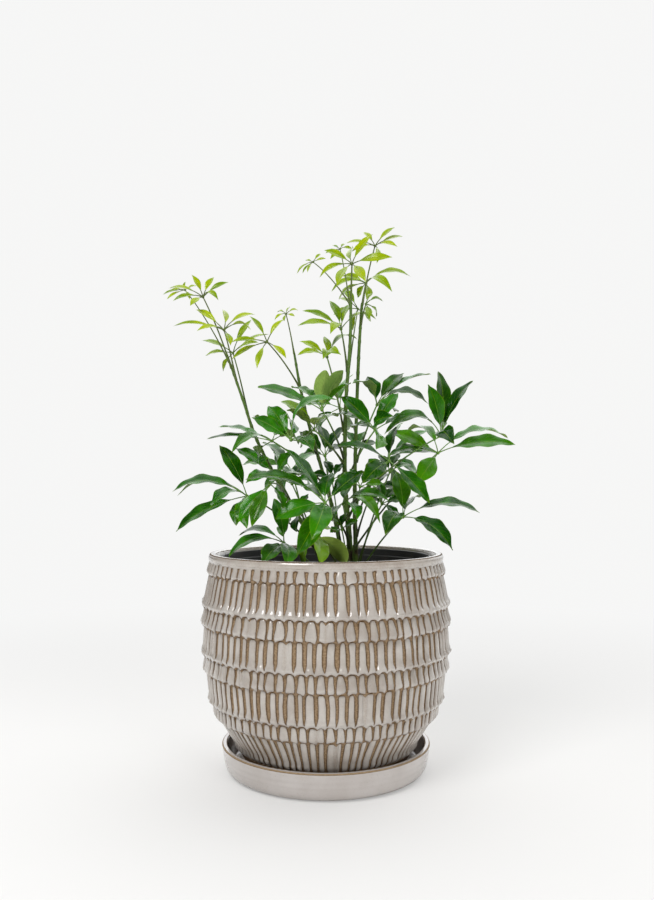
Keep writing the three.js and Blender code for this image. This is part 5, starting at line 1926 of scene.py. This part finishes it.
    def add_leaflet(self, skin: Skin, leaf: LeafSpec, hub: np.ndarray, row: LeafletRow) -> None:
        """Adds one leaflet, a little different from its neighbours in age, tone and shape.

        Args:
            skin: The leaf's skin.
            leaf: The leaf.
            hub: Its hub.
            row: The leaflet's row of the table.
        """
        age, tone = leaf.tone.value
        own_age = float(np.clip(age + self.rng.normal(0, 0.05), 0, 1))
        own_tone = float(np.clip(tone + self.rng.normal(0, 0.14), 0, 1))
        x, z, depth, shown, arch = row
        along = seen_point(x, z, leaf.hub[2] + depth) - hub
        length = float(np.linalg.norm(along))
        normal = self.blade_normal(hub, along, leaf.width, shown)
        side = unit(np.cross(along, normal))
        line = MiddleLine(hub, along, normal, side, length, arch * length * 4)
        shape = self.draw_shape(leaf, own_age, own_tone)
        stalk_share = self.small_stalk_share if leaf.width < self.small_leaf else self.stalk_share
        self.add_blade(skin, line, shape, stalk_share)
        self.add_rib(skin, line, shape, stalk_share, 0.7 if leaf.width < self.narrow_leaf else 1.0)

    def add_stalk(self, skin: Skin, leaf: LeafSpec, hub: np.ndarray) -> None:
        """Adds the leaf stalk, thick and sheathed where it leaves the cane, and the knob at its end.

        The stalk thins by the root of the way along it, and the sheath falls off by a power of it.

        Args:
            skin: The leaf's skin.
            leaf: The leaf.
            hub: Its hub.
        """
        age = leaf.tone.value[0]
        path = self.petiole_path(leaf, hub)
        scale = 0.7 if leaf.width < self.narrow_leaf else 0.85 if leaf.width < self.small_leaf else 1.0
        along = np.linspace(0, 1, len(path))
        sheath = 0.6 * np.exp(-along * float(lengths(path)[-1]) / 5)
        thinner = (self.petiole_tip - self.petiole_base) * along**0.5
        radii = scale * (self.petiole_base + thinner + sheath)
        tone = np.concatenate([along[:1], along, along[-1:]])[:, None]
        tone = np.repeat(tone, self.petiole_sides, axis=1)
        grid = closed_tube(path, radii, self.petiole_sides)
        skin.add_grid(grid, 2, wrap=True, age=age, tone=tone)
        knob = hub + self.knob_radius * scale * unit_ball(8, 12)
        skin.add_grid(knob, 2, wrap=True, flip=True, age=age, tone=1.0)

    def add_leaf(self, skin: Skin, leaf: LeafSpec) -> None:
        """Adds one whole leaf: its stalk, then each leaflet.

        Args:
            skin: The skin that it goes into.
            leaf: The leaf.
        """
        hub = seen_point(*leaf.hub)
        self.add_stalk(skin, leaf, hub)
        for row in leaf.leaflets:
            self.add_leaflet(skin, leaf, hub, row)

    def build(self) -> None:
        """Makes one piece for each leaf of LEAVES, and one that holds the small leaves between them."""
        finishes = [self.top, self.under, self.stalk]
        for leaf in LEAVES:
            skin = Skin()
            self.add_leaf(skin, leaf)
            slot = "leaf_young" if leaf.tone in (Tone.YOUNG, Tone.FRESH) else "leaf_mature"
            place_piece(skin.build("leaves_" + leaf.name, finishes), slot, "leaf_" + leaf.name)
        skin = Skin()
        for shoot in SHOOTS:
            self.add_leaf(skin, shoot)
        place_piece(skin.build("small_leaves", finishes), "leaf_mature")


@dataclass(frozen=True)
class SoftLight:
    """A square soft light that faces the middle of the plant. Sizes are in metres."""

    name: str
    place: Place
    size: float
    watts: float
    seen_in_gloss: bool = True
    aim: Place = (0.0, 0.0, 0.28)

    def build(self) -> None:
        """Adds the light, turned from straight down first up and then round towards its aim."""
        lamp = bpy.data.lights.new(self.name, "AREA")
        lamp.size = self.size
        lamp.energy = self.watts
        holder = add_object(self.name, lamp)
        holder.location = self.place
        way = np.array(self.aim) - np.array(self.place)
        lift = math.atan2(math.hypot(way[0], way[1]), -way[2])
        holder.rotation_euler = (lift, 0.0, math.atan2(-way[0], way[1]))
        holder.visible_glossy = self.seen_in_gloss


@dataclass
class Studio:
    """Pale floor, soft light and the camera at the photograph's viewing angle.

    panel is the direction in which the surroundings are brightest for what they light, and panel_light and
    room_light how bright they are there and elsewhere. near_glow is how far the floor's white shows near
    the object. It grows to full between the distances of floor_fade, in metres.
    """

    focal_px: float = 810.0
    frame_px: float = 900.0
    sensor_mm: float = 36.0
    horizon_below_centre_px: float = 39.0
    axis_left_of_centre_px: float = 1.0
    near_clip: float = 0.01
    white: Colour = (0.925, 0.925, 0.92, 1.0)
    paper: Colour = (0.82, 0.81, 0.795, 1.0)
    panel_colour: Colour = (0.98, 0.99, 1.0, 1.0)
    near_glow: float = 0.38
    floor_fade: tuple[float, float] = (0.3, 1.2)
    floor_radius: float = 30.0
    floor_drop: float = 0.0002
    floor_sides: int = 96
    panel: Place = (0.15, 0.62, 0.77)
    room_light: float = 0.08
    panel_light: float = 1.82
    window: SoftLight = SoftLight("window", (-0.8, -1.2, 1.6), 0.9, 23.0)
    fill: SoftLight = SoftLight("front_fill", (1.3, -1.8, 0.8), 0.9, 14.0, seen_in_gloss=False)

    def build_floor(self) -> None:
        """Makes a wide round floor of pale paper, which fades into the white surroundings."""
        mesh = bpy.data.meshes.new("floor")
        angle = full_turn(self.floor_sides)
        x = self.floor_radius * np.cos(angle)
        y = self.floor_radius * np.sin(angle)
        rim = np.stack([x, y, 0 * angle - self.floor_drop], axis=-1)
        mesh.from_pydata(rim.tolist(), [], [list(range(self.floor_sides))])
        material = bpy.data.materials.new("floor_paper")
        material.use_nodes = True
        material.node_tree.nodes.clear()
        kit = NodeTree(material.node_tree)
        length = kit.node("ShaderNodeVectorMath", {0: kit.coordinates()}, operation="LENGTH")
        far = kit.ramp(length.outputs["Value"], *self.floor_fade)
        paper = kit.node("ShaderNodeBsdfDiffuse", {"Color": self.paper}).outputs[0]
        glow = kit.node("ShaderNodeEmission", {"Color": self.white, "Strength": 1.0}).outputs[0]
        seen = kit.node("ShaderNodeLightPath").outputs["Is Camera Ray"]
        share = kit.times(kit.blend(far, self.near_glow, 1.0), seen)
        both = kit.node("ShaderNodeMixShader", {0: share, 1: paper, 2: glow})
        kit.node("ShaderNodeOutputMaterial", {"Surface": both.outputs[0]})
        mesh.materials.append(material)
        add_object("floor", mesh)

    def build_world(self) -> None:
        """Makes white surroundings for the camera.

        What they light sees them bright above and behind the plant and dim in front, as in front of a large
        soft panel that leans over it.
        """
        world = bpy.data.worlds.new("studio")
        world.use_nodes = True
        world.node_tree.nodes.clear()
        kit = NodeTree(world.node_tree)
        seen = kit.node("ShaderNodeBackground", {"Color": self.white, "Strength": 1.0})
        inputs = {0: kit.coordinates("Generated"), 1: self.panel}
        towards = kit.node("ShaderNodeVectorMath", inputs, operation="DOT_PRODUCT").outputs["Value"]
        strength = kit.blend(kit.ramp(towards, 0.4, 0.95), self.room_light, self.panel_light)
        fill = kit.node("ShaderNodeBackground", {"Color": self.panel_colour, "Strength": strength})
        path = kit.node("ShaderNodeLightPath").outputs["Is Camera Ray"]
        both = kit.node("ShaderNodeMixShader", {0: path, 1: fill.outputs[0], 2: seen.outputs[0]})
        kit.node("ShaderNodeOutputWorld", {"Surface": both.outputs[0]})
        bpy.context.scene.world = world

    def build_camera(self) -> None:
        """Adds the camera at the viewpoint, level, with the frame shifted as in the photograph."""
        data = bpy.data.cameras.new("camera")
        data.sensor_width = self.sensor_mm
        data.lens = self.focal_px / self.frame_px * self.sensor_mm
        data.shift_y = self.horizon_below_centre_px / self.frame_px
        data.shift_x = self.axis_left_of_centre_px / self.frame_px
        data.clip_start = self.near_clip
        camera = add_object("camera", data)
        camera.location = tuple((EYE - GROUND_Z * UP) * MM)
        camera.rotation_euler = (math.pi / 2, 0.0, 0.0)
        bpy.context.scene.camera = camera

    def build(self) -> None:
        """Makes everything round the object."""
        self.build_floor()
        self.build_world()
        self.window.build()
        self.fill.build()
        self.build_camera()
        bpy.context.scene.view_settings.view_transform = "Standard"


def main() -> None:
    """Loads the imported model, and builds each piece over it."""
    logging.basicConfig(level=logging.INFO, format="%(name)s %(message)s")
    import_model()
    effects = Effects()
    Saucer().build(SAUCER_GLAZE.build(effects))
    CarvedPot().build(POT_GLAZE.build(effects))
    GrowerPot().build(PlasticFinish().build(effects))
    PottingMix().build(SOIL.build(effects), BARK_BITS.build(effects))
    canes = Canes()
    canes.build(BarkFinish().build(effects))
    leaf_finishes = [finish.build(effects) for finish in (BLADE_TOP, BLADE_UNDER, StalkFinish())]
    Foliage(canes, *leaf_finishes).build()
    Studio().build()
    bpy.context.view_layer.update()


if __name__ == "__main__":
    main()
